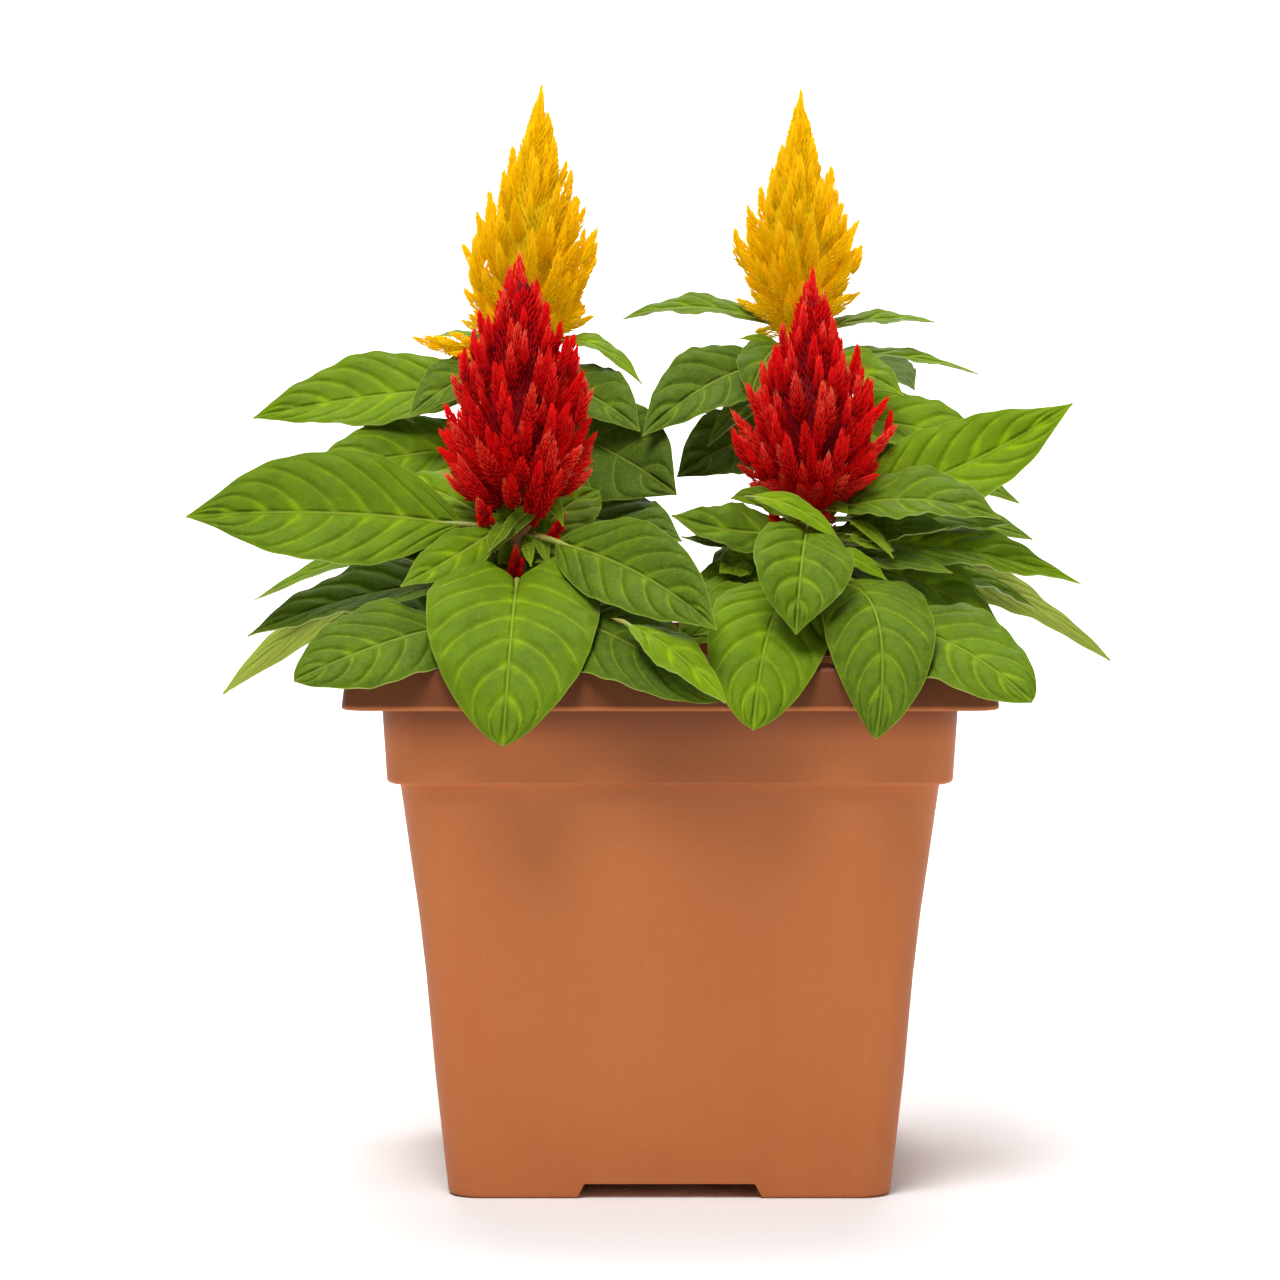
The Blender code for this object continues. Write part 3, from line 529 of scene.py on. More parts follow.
class Finish:
    """A material while its nodes are laid."""

    def __init__(self, name, **constants):
        self.material = bpy.data.materials.new(name)
        self.material.use_nodes = True
        self.tree = self.material.node_tree
        self.shader = self.tree.nodes["Principled BSDF"]
        self.sockets = {socket.name.lower().replace(" ", "_"): socket for socket in self.shader.inputs}
        for name, value in constants.items():
            self.sockets[name].default_value = value

    def node(self, kind, preset=None, sockets=None, output=0):
        """Adds a node, sets it up, and fills its sockets with values or links."""
        made = self.tree.nodes.new(kind)
        for name, value in (preset or {}).items():
            setattr(made, name, value)
        for name, value in (sockets or {}).items():
            self.feed(made.inputs[name], value)
        return Shade(self, made.outputs[output])

    def feed(self, socket, value):
        if isinstance(value, Shade):
            self.tree.links.new(value.socket, socket)
        elif isinstance(value, (int, float)):
            socket.default_value = value
        else:
            socket.default_value = (*value, 1.0) if len(socket.default_value) == 4 else tuple(value)

    def mix(self, amount, first, second):
        """A colour between two colours."""
        return self.node("ShaderNodeMix", {"data_type": "RGBA"}, {0: amount, 6: first, 7: second}, output=2)

    def attribute(self, name):
        return self.node("ShaderNodeAttribute", {"attribute_name": name}, output="Fac")

    def place(self, stretch=(1, 1, 1)):
        """Object coordinates, stretched."""
        here = self.node("ShaderNodeTexCoord", output="Object")
        return self.node("ShaderNodeMapping", None, {"Vector": here, "Scale": stretch})

    def coordinate(self, axis):
        """One of the object's coordinates, in metres: X, Y or Z."""
        return self.node("ShaderNodeSeparateXYZ", None, {"Vector": self.place()}, output=axis)

    def noise(self, scale, detail=2.0, roughness=0.5, stretch=(1, 1, 1)):
        return self.node("ShaderNodeTexNoise", None, {
            "Vector": self.place(stretch), "Scale": scale, "Detail": detail, "Roughness": roughness})

    def cells(self, scale):
        """How far a place lies from the nearest line of a fine net."""
        sockets = {"Vector": self.place(), "Scale": scale}
        return self.node("ShaderNodeTexVoronoi", {"feature": "DISTANCE_TO_EDGE"}, sockets)

    def bump(self, height, distance, strength=1.0):
        sockets = {"Height": height, "Distance": distance, "Strength": strength}
        raised = self.node("ShaderNodeBump", None, sockets)
        self.feed(self.sockets["normal"], raised)

    def wear(self, **links):
        for name, value in links.items():
            self.feed(self.sockets[name], value)
        return self.material


# Where the pot's looks change, in metres: the heights between which painted shade rises into the lip, a
# painted shadow in the middle of the front and back grows darker, and a painted highlight makes the lip's
# lower edge pale and dark again
PAINTED_SHADE_RISE = (0.184, 0.2045)
SHADOW_RISE = (0.132, 0.200)
SHADOW_MIDDLE = 0.009
SHADOW_SIDES = (0.010, 0.078)
HIGHLIGHT_FROM = (0.2010, 0.2017)
HIGHLIGHT_TO = (0.2026, 0.2040)


def moulded_plastic(choice):
    """Matt terracotta plastic, with painted shade over its lip and upper band, a painted shadow in the
    middle below the lip, and a painted highlight along the lip's lower edge.
    """
    finish = Finish("moulded_plastic", specular_ior_level=0.25)
    drift = finish.noise(9.0, 3.0, 0.55)
    streak = finish.noise(30.0, 3.0, 0.6, (1.0, 1.0, 0.12))
    grain = finish.noise(900.0, 2.0, 0.6)
    speck = finish.noise(260.0, 1.0).smooth(0.62, 0.74)
    deeper = drift.smooth(0.35, 0.7) * 0.25 + streak.smooth(0.4, 0.7) * 0.2
    base = finish.mix(deeper, choice.plastic, choice.plastic_deep)
    base = finish.mix(speck * 0.05, base, (0.62, 0.30, 0.16))
    sideways, height = finish.coordinate("X"), finish.coordinate("Z")
    # Painted shade: the band darkens upwards into the lip, as under the overhanging leaves
    painted_shade = (height + (drift - 0.5) * 0.01).smooth(*PAINTED_SHADE_RISE)
    base = finish.mix(painted_shade, base, choice.painted_shade)
    # Painted shadow: a darker patch in the middle of the front and back, below the lip
    painted_shadow = (1.0 - abs(sideways - SHADOW_MIDDLE).smooth(*SHADOW_SIDES)) * height.smooth(*SHADOW_RISE)
    base = finish.mix(painted_shadow * (0.25 + drift * 0.6), base, choice.painted_shade)
    # Painted highlight: a pale line along the lip's lower edge
    painted_highlight = height.smooth(*HIGHLIGHT_FROM) * (1.0 - height.smooth(*HIGHLIGHT_TO))
    base = finish.mix(painted_highlight * 0.8, base, choice.plastic)
    finish.bump(grain * 0.6 + drift * 0.4, 0.0002, 0.35)
    return finish.wear(base_color=base, roughness=0.40 + 0.16 * drift + 0.06 * grain)


def peat_finish(choice):
    """Dark peat in clumps, moist in the hollows and flecked with paler fibre."""
    finish = Finish("peat", specular_ior_level=0.25)
    clump = finish.noise(160.0, 4.0, 0.65)
    fibre = finish.noise(700.0, 3.0, 0.7, (1.0, 0.3, 1.0))
    base = finish.mix(clump.smooth(0.35, 0.65), choice.peat_wet, choice.peat)
    base = finish.mix(fibre.smooth(0.6, 0.78) * 0.5, base, (0.20, 0.12, 0.07))
    finish.bump(clump + fibre * 0.5, 0.0012, 0.8)
    return finish.wear(base_color=base, roughness=0.80 + 0.18 * clump)


def blade_finish(name, choice, underside):
    """Leaf green with a pale midrib, fine side veins in shallow valleys, and a thin pale margin."""
    finish = Finish(name, specular_ior_level=0.04)
    across, margin, tone = (finish.attribute(key) for key in ("across", "margin", "tone"))
    along, fade = finish.attribute("along"), finish.attribute("fade")
    from_vein = 0.5 - abs(finish.attribute("vein").fraction() - 0.5)
    inside = margin.smooth(0.2, 5.0) * abs(across).smooth(0.3, 1.5)
    side_vein = (1.0 - from_vein.smooth(0.004, 0.050)) * inside
    beside_vein = (1.0 - from_vein.smooth(0.03, 0.30)) * inside
    midrib = 1.0 - (abs(across) + along * 0.4).smooth(0.20, 0.75)
    beside_midrib = 1.0 - abs(across).smooth(0.5, 8.0)
    blotch = finish.noise(55.0, 3.0, 0.6)
    mottle = finish.noise(420.0, 3.0, 0.65)
    net = finish.cells(420.0).smooth(0.0, 0.12)
    if underside:
        base = finish.mix(tone * 0.5, choice.underside, (0.33, 0.43, 0.12))
        base = finish.mix(mottle.smooth(0.3, 0.7) * 0.25, base, choice.green)
    else:
        # The tone, partly painted light and shade, sets the green between deep and plain
        depth = (tone * 1.1 + (blotch - 0.5) * 0.9).smooth(0.0, 1.0)
        base = finish.mix(depth, choice.green_deep, choice.green)
        # Yellow-green beside the veins and the midrib: partly the leaf's own colour, partly painted light
        # and shade of its quilting
        patch = finish.noise(140.0, 2.0, 0.5).smooth(0.25, 0.7)
        vein_green_and_painted_light = (beside_vein * 0.65 + beside_midrib * 0.45) * (0.2 + patch * 0.8) * (0.15 + tone)
        base = finish.mix(vein_green_and_painted_light.smooth(0.0, 1.0), base, choice.green_young)
        base = finish.mix(mottle.smooth(0.45, 0.75) * 0.16, base, choice.green_young)
        base = finish.mix((1.0 - net) * 0.10, base, choice.green_young)
    base = finish.mix(fade, base, (0.33, 0.38, 0.06))
    base = finish.mix(side_vein * (0.55 if underside else 0.20), base, choice.vein)
    base = finish.mix(midrib * 0.45, base, choice.vein)
    base = finish.mix((1.0 - margin.smooth(0.1, 0.45)) * 0.40, base, choice.vein)
    valley = from_vein.smooth(0.0, 0.30) * inside * (-1.0 if underside else 1.0)
    finish.bump(net * 0.06 + mottle * 0.10 + valley, 0.0010, 0.8)
    sheen = 0.42 + 0.12 * blotch + 0.10 * mottle
    return finish.wear(base_color=base, roughness=sheen + (0.2 if underside else 0.0))


def margin_finish():
    finish = Finish("leaf_margin", roughness=0.5)
    drift = finish.noise(120.0, 2.0)
    return finish.wear(base_color=finish.mix(drift, (0.30, 0.42, 0.07), (0.44, 0.50, 0.14)))


def stalk_finish(choice):
    """Streaked green of stems and stalks, flushed red where the piece's blush attribute asks for it."""
    finish = Finish("stem_and_stalk", specular_ior_level=0.45)
    streak = finish.noise(420.0, 2.0, 0.6, (1.0, 1.0, 0.08))
    blush = finish.noise(26.0, 2.0, 0.5)
    low = finish.attribute("blush")
    base = finish.mix(streak.smooth(0.35, 0.65) * 0.6, choice.stem, choice.vein)
    base = finish.mix(low * blush.smooth(0.25, 0.6) * 0.85, base, choice.stem_flush)
    finish.bump(streak, 0.0004, 0.5)
    return finish.wear(base_color=base, roughness=0.44 + 0.14 * streak)


def floret_finish(name, body, deep, tip, bract, glow):
    """Petal colour, with painted shade at a floret's foot and inside the head, and pale warm outer tips that
    are partly the petals' own colour and partly painted highlight.

    The glow stands for the light that comes through the thin petals.
    """
    finish = Finish(name, specular_ior_level=0.10, emission_strength=glow)
    up, outer, tone = (finish.attribute(key) for key in ("floret", "outer", "tone"))
    height = finish.attribute("height")
    drift = finish.noise(70.0, 2.0, 0.5)
    # Painted shade: darker towards each floret's foot and towards the inside of the head
    base = finish.mix((up * 0.75 + outer * 0.6).smooth(0.18, 0.88), deep, body)
    chosen = (tone + (drift - 0.5) * 0.5).smooth(0.36, 0.78)
    # Painted highlight: warm pale lit tips on the outer florets of some plumelets
    lit = up.smooth(0.40, 1.0) * outer.smooth(0.35, 0.95) * chosen
    base = finish.mix(lit * 0.9, base, tip)
    base = finish.mix((1.0 - height.smooth(0.0, 0.14)) * 0.45 * (1.0 - up * 0.8), base, bract)
    return finish.wear(base_color=base, emission_color=base, roughness=0.55 + 0.2 * drift)


# Mesh work
def fresh(name, add, **choices):
    """A new primitive, alone in the selection."""
    bpy.ops.object.select_all(action="DESELECT")
    add(**choices)
    piece = bpy.context.active_object
    piece.name = piece.data.name = name
    return piece


def spots(piece):
    """The places of a piece's vertices, in metres."""
    found = np.empty(len(piece.data.vertices) * 3)
    piece.data.vertices.foreach_get("co", found)
    return found.reshape(-1, 3)


def move_spots(piece, places):
    piece.data.vertices.foreach_set("co", np.asarray(places, float).ravel())
    piece.data.update()


def mark(piece, **values):
    """Writes a number for each vertex under each name, for the materials to read."""
    total = len(piece.data.vertices)
    for name, value in values.items():
        layer = piece.data.attributes.new(name, "FLOAT", "POINT")
        numbers = np.broadcast_to(np.asarray(value, float), total).astype(np.float32)
        layer.data.foreach_set("value", numbers)


def wear_materials(piece, *materials):
    piece.data.materials.clear()
    for material in materials:
        piece.data.materials.append(material)


def carry_out(piece, kind, **choices):
    """Adds a modifier and applies it."""
    modifier = piece.modifiers.new(kind.title(), kind)
    for name, value in choices.items():
        setattr(modifier, name, value)
    bpy.context.view_layer.objects.active = piece
    bpy.ops.object.modifier_apply(modifier=modifier.name)


def laid_out(name, places, faces):
    """A piece made straight from places and faces."""
    mesh = bpy.data.meshes.new(name)
    mesh.from_pydata(places, [], faces)
    piece = bpy.data.objects.new(name, mesh)
    bpy.context.scene.collection.objects.link(piece)
    return piece


def joined(pieces, name):
    bpy.ops.object.select_all(action="DESELECT")
    for piece in pieces:
        piece.select_set(True)
    bpy.context.view_layer.objects.active = pieces[0]
    if len(pieces) > 1:
        bpy.ops.object.join()
    result = pieces[0]
    result.name = result.data.name = name
    return result


def smooth(piece, angle=180.0):
    bpy.ops.object.select_all(action="DESELECT")
    piece.select_set(True)
    bpy.context.view_layer.objects.active = piece
    if angle >= 180.0:
        bpy.ops.object.shade_smooth()
    else:
        bpy.ops.object.shade_smooth_by_angle(angle=math.radians(angle))


def hand_over(piece, slot, *nodes):
    """Puts a finished piece on the body, in place of the solids it stands for."""
    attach(piece, "root")
    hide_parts(*nodes)


def tube(name, line, sides, levels):
    """A closed round bar from a sphere. line(share) gives its middle, two ways across it and a radius."""
    add = bpy.ops.mesh.primitive_uv_sphere_add
    piece = fresh(name, add, segments=sides, ring_count=levels, radius=1.0)
    local = spots(piece)
    shares = np.round(np.arccos(np.clip(-local[:, 2], -1, 1)) / math.pi, 5)
    angles = np.arctan2(local[:, 1], local[:, 0])
    flat = np.hypot(local[:, 0], local[:, 1])
    places = np.empty_like(local)
    for step in np.unique(shares):
        here = shares == step
        middle, way, other, radius = line(float(step))
        swell = radius * np.minimum(1.0, flat[here] * 3.0)[:, None]
        outward = (np.cos(angles[here])[:, None] * np.array(way)
                   + np.sin(angles[here])[:, None] * np.array(other))
        places[here] = np.array(middle) + outward * swell
    move_spots(piece, places * MM)
    return piece, shares


# Pot and soil
def drawn_up(name, rings):
    """A solid drawn up ring by ring from a flat circle, with both ends closed."""
    total = len(rings[0])
    add = bpy.ops.mesh.primitive_circle_add
    piece = fresh(name, add, vertices=total, radius=1.0, fill_type="NGON")
    order = np.argsort(np.arctan2(spots(piece)[:, 1], spots(piece)[:, 0]) % math.tau)
    first = np.argsort(np.arctan2(rings[0][:, 1], rings[0][:, 0]) % math.tau)
    places = np.empty((total, 3))
    places[order] = rings[0][first] * MM
    move_spots(piece, places)
    bpy.ops.object.mode_set(mode="EDIT")
    bpy.ops.mesh.select_all(action="SELECT")
    for before, ring in zip(rings, rings[1:]):
        bpy.ops.mesh.extrude_region()
        bm = bmesh.from_edit_mesh(piece.data)
        raised = [vert for vert in bm.verts if vert.select]
        old = np.array([vert.co for vert in raised]) / MM
        nearest = ((old[:, None, :] - before[None, :, :]) ** 2).sum(axis=2).argmin(axis=1)
        for vert, index in zip(raised, nearest):
            vert.co = ring[index] * MM
        bmesh.update_edit_mesh(piece.data)
    bpy.ops.mesh.select_all(action="SELECT")
    bpy.ops.mesh.normals_make_consistent(inside=False)
    bpy.ops.object.mode_set(mode="OBJECT")
    return piece


def pot_profile():
    """The pot's rings from its foot up its outside, over its lip and down inside to its floor."""
    outer = [ring_points(half, BODY_CORNER, height) for half, height in POT_BODY + POT_BAND]
    lip = [ring_points(half, LIP_CORNER, height) for half, height in POT_LIP]
    inner_lip = LIP_CORNER - WALL
    inner_body = BODY_CORNER - WALL
    lip_low, band_low, body_top = POT_LIP[0][1], POT_BAND[1][1], POT_BODY[-1]
    inner = [
        ring_points(POT_LIP[-1][0] - WALL * 0.8, inner_lip, LIP_TOP),
        ring_points(POT_LIP[1][0] - WALL, inner_lip, lip_low + WALL),
        ring_points(POT_BAND[-1][0] - WALL, inner_body, lip_low + WALL),
        ring_points(POT_BAND[1][0] - WALL, inner_body, band_low + WALL),
        ring_points(body_top[0] - WALL, inner_body, band_low + WALL),
    ]
    for half, height in reversed(POT_BODY[2:-1:2]):
        inner.append(ring_points(half - WALL, inner_body, height))
    inner.append(ring_points(POT_BODY[1][0] - WALL, inner_body, FLOOR_TOP))
    return outer + lip + inner


def cut_away(piece, cutter):
    carry_out(piece, "BOOLEAN", operation="DIFFERENCE", solver="EXACT", object=cutter)
    bpy.data.objects.remove(cutter, do_unlink=True)


def channel_cutter(turned):
    """The bar that clears the space between the pot's feet."""
    reach = POT_BODY[-1][0] * MM * 1.3
    cutter = fresh("channel_cutter", bpy.ops.mesh.primitive_cube_add, size=2.0)
    places = spots(cutter)
    top = places[:, 2] > 0
    places[:, 0] *= np.where(top, CHANNEL_TOP, CHANNEL_BOTTOM) * MM
    places[:, 1] *= reach
    places[:, 2] = np.where(top, FOOT_HEIGHT, -FOOT_HEIGHT * 0.15) * MM
    move_spots(cutter, places)
    if turned:
        cutter.data.transform(Matrix.Rotation(math.radians(90), 4, "Z"))
    return cutter


def grow_pot():
    """The pot, with its feet and drain holes cut and its edges rounded."""
    choice = settings("pot")
    pot = drawn_up("square_pot", pot_profile())
    for turned in (False, True):
        cut_away(pot, channel_cutter(turned))
    for x, y in ((0, 0), (1, 0), (-1, 0), (0, 1), (0, -1)):
        place = (DRAIN_SPACING * x * MM, DRAIN_SPACING * y * MM, FOOT_HEIGHT * MM)
        cut_away(pot, fresh("drain_cutter", bpy.ops.mesh.primitive_cylinder_add, vertices=24,
                            radius=DRAIN_RADIUS * MM, depth=FLOOR_TOP * MM * 3, location=place))
    bpy.context.view_layer.objects.active = pot
    carry_out(pot, "BEVEL", width=choice.edge_round, segments=2, limit_method="ANGLE",
              angle_limit=math.radians(32))
    smooth(pot, 40.0)
    wear_materials(pot, moulded_plastic(choice))
    hand_over(pot, "terracotta_plastic", "pot")


def peat_height(x, y):
    """How high the peat lies at a place, in millimetres: lumpy, and heaped a little round each stem."""
    here = Vector((x, y, 0.0))
    lie = SOIL_TOP - SOIL_LUMP * 0.6
    lie += noise.noise(here * 0.035) * SOIL_LUMP * 1.3 + noise.noise(here * 0.14) * SOIL_LUMP * 0.8
    lie += noise.noise(here * 0.5) * SOIL_LUMP * 0.35
    for (foot_x, foot_y), _ in STEMS.values():
        lie += PEAT_HEAP * math.exp(-((x - foot_x) ** 2 + (y - foot_y) ** 2) / 260.0)
    return lie


def grow_soil():
    """The peat: a plain body, a lumpy top and loose crumbs in one piece."""
    choice = settings("soil")
    inset = WALL + GAP
    inner_body = BODY_CORNER - WALL
    ledge = POT_BAND[1][1] + WALL + GAP
    low = [(POT_BODY[1][0], FLOOR_TOP + GAP)] + POT_BODY[2:-1:2] + [(POT_BODY[-1][0], ledge)]
    rings = [ring_points(half - inset, inner_body, height) for half, height in low]
    rings.append(ring_points(POT_BAND[1][0] - inset, inner_body, ledge))
    slope = (SOIL_TOP - POT_BAND[1][1]) / (POT_BAND[-1][1] - POT_BAND[1][1])
    edge = POT_BAND[1][0] + slope * (POT_BAND[-1][0] - POT_BAND[1][0]) - inset
    rings.append(ring_points(edge, inner_body, SOIL_TOP - 3 * SOIL_LUMP))
    soil = drawn_up("peat_soil", rings)
    bpy.ops.object.mode_set(mode="EDIT")
    bpy.ops.mesh.select_all(action="DESELECT")
    bm = bmesh.from_edit_mesh(soil.data)
    for face in bm.faces:
        if face.calc_center_median().z > (SOIL_TOP - 4 * SOIL_LUMP) * MM and face.normal.z > 0.9:
            bmesh.ops.delete(bm, geom=[face], context="FACES_ONLY")
            break
    bmesh.update_edit_mesh(soil.data)
    bpy.ops.object.mode_set(mode="OBJECT")
    soil = joined([soil, peat_top(edge, inner_body), crumbs(choice, edge)], "peat_soil")
    bpy.ops.object.mode_set(mode="EDIT")
    bpy.ops.mesh.select_all(action="SELECT")
    bpy.ops.mesh.remove_doubles(threshold=0.00002)
    bpy.ops.object.mode_set(mode="OBJECT")
    smooth(soil, 50.0)
    wear_materials(soil, peat_finish(choice))
    hand_over(soil, "peat", "soil")


def peat_top(edge, corner):
    """The lumpy surface of the peat, as rings that shrink to the middle of the pot."""
    halves = [edge] + [edge - PEAT_STEP * number for number in range(1, int(edge / PEAT_STEP))]
    rings = [ring_points(half, min(corner + (edge - half) * 0.4, half * 0.9), 0) for half in halves]
    points, faces = [], []
    total = len(rings[0])
    # Long sides get points in between, so the lumps show on them too
    dense = []
    for ring in rings:
        row = []
        for index in range(total):
            here, after = ring[index], ring[(index + 1) % total]
            cuts = PEAT_SIDE_CUTS if (index + 1) % (FINE_CORNER_STEPS + 1) == 0 else 1
            row += [here + (after - here) * cut / cuts for cut in range(cuts)]
        dense.append(np.array(row))
    total = len(dense[0])
    for number, ring in enumerate(dense):
        for x, y, _ in ring:
            height = SOIL_TOP - 3 * SOIL_LUMP if number == 0 else peat_height(x, y)
            points.append((x * MM, y * MM, height * MM))
    for row in range(len(dense) - 1):
        for index in range(total):
            a, b = row * total + index, row * total + (index + 1) % total
            faces.append((a, b, b + total, a + total))
    faces.append(tuple(range(len(points) - total, len(points))))
    return laid_out("peat_top", points, faces)


def crumbs(choice, edge):
    """Loose crumbs of peat, scattered over the top."""
    master = fresh("crumb", bpy.ops.mesh.primitive_ico_sphere_add, subdivisions=1, radius=1.0)
    shape = spots(master)
    corners = np.array([list(face.vertices) for face in master.data.polygons])
    bpy.data.objects.remove(master, do_unlink=True)
    draw = random.Random(21)
    places, faces = [], []
    for number in range(choice.crumbs):
        x, y = draw.uniform(-1, 1) * (edge - 3), draw.uniform(-1, 1) * (edge - 3)
        size = choice.crumb / MM * 0.5 * draw.uniform(0.4, 1.6)
        lumps = np.array([draw.uniform(0.7, 1.2) for _ in shape])[:, None]
        squash = np.array([draw.uniform(0.7, 1.3), draw.uniform(0.7, 1.3), draw.uniform(0.5, 0.9)])
        middle = np.array([x, y, peat_height(x, y) + size * 0.25])
        faces.append(corners + len(shape) * number)
        places.append((shape * lumps * squash * size + middle) * MM)
    return laid_out("crumbs", np.concatenate(places), np.concatenate(faces).tolist())


# Stems and leaves
ROW_STEP = 1.9
COLUMN_STEP = 2.0
VEIN_STEP = 15.0
# Leaves are named here by plant, node height and the X of their tip. The faded ones have turned pale, one
# is heart-shaped, and for some the green is given one by one as painted light and shade, from 0 for old
# leaves in painted shade to 1 for young leaves in painted light
FADED = {("back_left", 240.0, -189.0), ("back_right", 244.0, 194.0)}
HEART = ("front_left", 249.0, -66.0)
PAINTED_LIGHT_AND_SHADE = {
    ("front_left", 249.0, -66.0): 0.55, ("front_left", 268.0, 31.0): 0.28,
    ("front_left", 248.0, -174.0): 0.2, ("front_right", 277.0, 167.0): 0.9,
    ("front_right", 262.0, 173.0): 0.8, ("back_left", 310.0, 4.0): 0.0,
    ("back_left", 276.0, 6.0): 0.0, ("back_left", 323.0, -8.0): 0.15,
    ("back_left", 335.0, -110.0): 0.2, ("back_right", 306.0, 3.0): 0.0,
    ("back_right", 336.0, -12.0): 0.15, ("back_right", 344.0, 34.0): 0.2,
}
AXIL_LEAVES = 26
STALK = 3


def blunt_half(leaf, along, heart):
    """Half the width of a hanging blade: egg-shaped or heart-shaped, with a blunt tip."""
    belly = 0.30 if heart else leaf.belly * 0.85
    if along < belly:
        swell = math.sin(math.pi / 2 * along / belly)
        rise = 0.70 + 0.30 * swell if heart else swell ** 0.7
        return max(STALK_HALF_WIDTH, leaf.width / 2 * rise)
    return leaf.width / 2 * max(0.0, 1 - ((along - belly) / (1 - belly)) ** 2.2) ** 0.72


def grow_blade(leaf, name, tone, fade, choice):
    """One leaf blade: a grid laid along its line, quilted between its veins, with a wall."""
    start, control, end = leaf.line()
    reach = (control - start).length + (end - control).length + (end - start).length
    reach *= 0.5 * (1 - STALK_SHARE)
    rows = int(min(64, max(14, reach / ROW_STEP)))
    columns = 2 * int(min(13, max(3, leaf.width / 2 / COLUMN_STEP)))
    add = bpy.ops.mesh.primitive_grid_add
    piece = fresh(name, add, x_subdivisions=columns, y_subdivisions=rows, size=2.0)
    local = spots(piece)
    sides = local[:, 0]
    alongs = np.round((local[:, 1] + 1) / 2, 6)
    veins = max(3, round(reach / VEIN_STEP))
    quilt = choice.quilt / MM * min(1.0, leaf.width / 40)
    heart = (leaf.plant, float(leaf.node), float(leaf.tip.x)) == HEART
    places = np.empty_like(local)
    across, margin = np.empty(len(local)), np.empty(len(local))
    vein = veins * (alongs - 0.14 * np.abs(sides) - 0.16 * sides ** 2) + 0.35
    for along in np.unique(alongs):
        here = alongs == along
        side = sides[here]
        centre, ahead, side_way, normal = (np.array(way) for way in leaf.cross_section(
            STALK_SHARE + (1 - STALK_SHARE) * along * (0.95 if heart else 0.98)))
        half = leaf.half_width(STALK_SHARE + (1 - STALK_SHARE) * along)
        if leaf.draped() and leaf.width > NARROW_BLADE:
            half = blunt_half(leaf, along, heart)
        elif not leaf.draped():
            half *= 1 - 0.35 * max(0.0, (along - 0.78) / 0.22) ** 1.5
        edge = np.abs(side)
        swing = math.sin(math.pi * min(1.0, along))
        wave = np.sin(math.tau * WAVES * along + leaf.phase + np.where(side < 0, math.pi, 0))
        ripple = np.sin(math.tau * WAVES * 3.1 * along + leaf.phase * 2 + np.where(side < 0, 2.0, 0))
        bend = leaf.fold(along) * edge ** 1.15 * (half - STALK_HALF_WIDTH)
        bend = bend + wave * BLADE_WAVE * edge ** 1.4 * swing * min(1.0, leaf.width / 22)
        bend = bend + ripple * 0.6 * edge ** 3 * swing * min(1.0, leaf.width / 30)
        # Each cell between two side veins swells, and the midrib lies in a groove
        cell = vein[here] % 1.0
        crown = (4 * cell * (1 - cell)) ** 0.75 * np.minimum(1.0, edge * 2.6) * (1 - edge ** 3) ** 0.6
        bend = bend + crown * quilt * min(1.0, half / 9) - 0.5 * quilt
        bend = bend - np.exp(-(side * half / 1.2) ** 2) * 0.5 * min(1.0, half / 8)
        lobe = np.clip(np.sin(math.pi * edge ** 0.9), 0.0, 1.0) ** 0.6 + 0.5 * edge ** 2
        ear = (leaf.width * 0.09 * max(0.0, 1 - along / 0.30) ** 2 if heart else 0.0) * lobe
        places[here] = (centre + np.outer(side * half, side_way) + np.outer(bend, normal)
                        + np.outer(ear, normal * 0.9 - ahead * 0.2))
        across[here] = side * half
        margin[here] = (1 - edge) * half
    move_spots(piece, places * MM)
    mark(piece, vein=vein, across=across, margin=margin, along=alongs, tone=tone, fade=fade)
    wear_materials(piece, *LEAF_LAYERS)
    carry_out(piece, "SOLIDIFY", thickness=choice.blade, offset=-1.0, material_offset=1,
              material_offset_rim=2)
    return piece


def grow_stalk(leaf, name, choice):
    """A leaf's stalk, which runs on below the blade as its midrib."""
    blade = choice.blade / MM

    def line(part):
        part = part * 0.97
        centre, _, side_way, normal = leaf.cross_section(part)
        inside = min(1.0, max(0.0, (part - STALK_SHARE * 0.8) / 0.1))
        if part < STALK_SHARE:
            taper = 1.15 - 0.15 * part / STALK_SHARE
        else:
            taper = 1.0 - 0.82 * (part - STALK_SHARE) / (1 - STALK_SHARE)
        thick = STALK_HALF_WIDTH * taper * min(1.0, leaf.width / 26)
        sunk = inside * (thick * 0.72 + blade + min(1.0, leaf.width / 40))
        return centre - normal * sunk, side_way, normal, thick

    levels = int(min(34, max(12, (leaf.tip - leaf.root).length / 4)))
    piece, shares = tube(name, line, 8, levels)
    mark(piece, blush=np.clip(1.0 - shares * 5.0, 0, 1) * 0.7)
    wear_materials(piece, LEAF_LAYERS[STALK])
    return piece


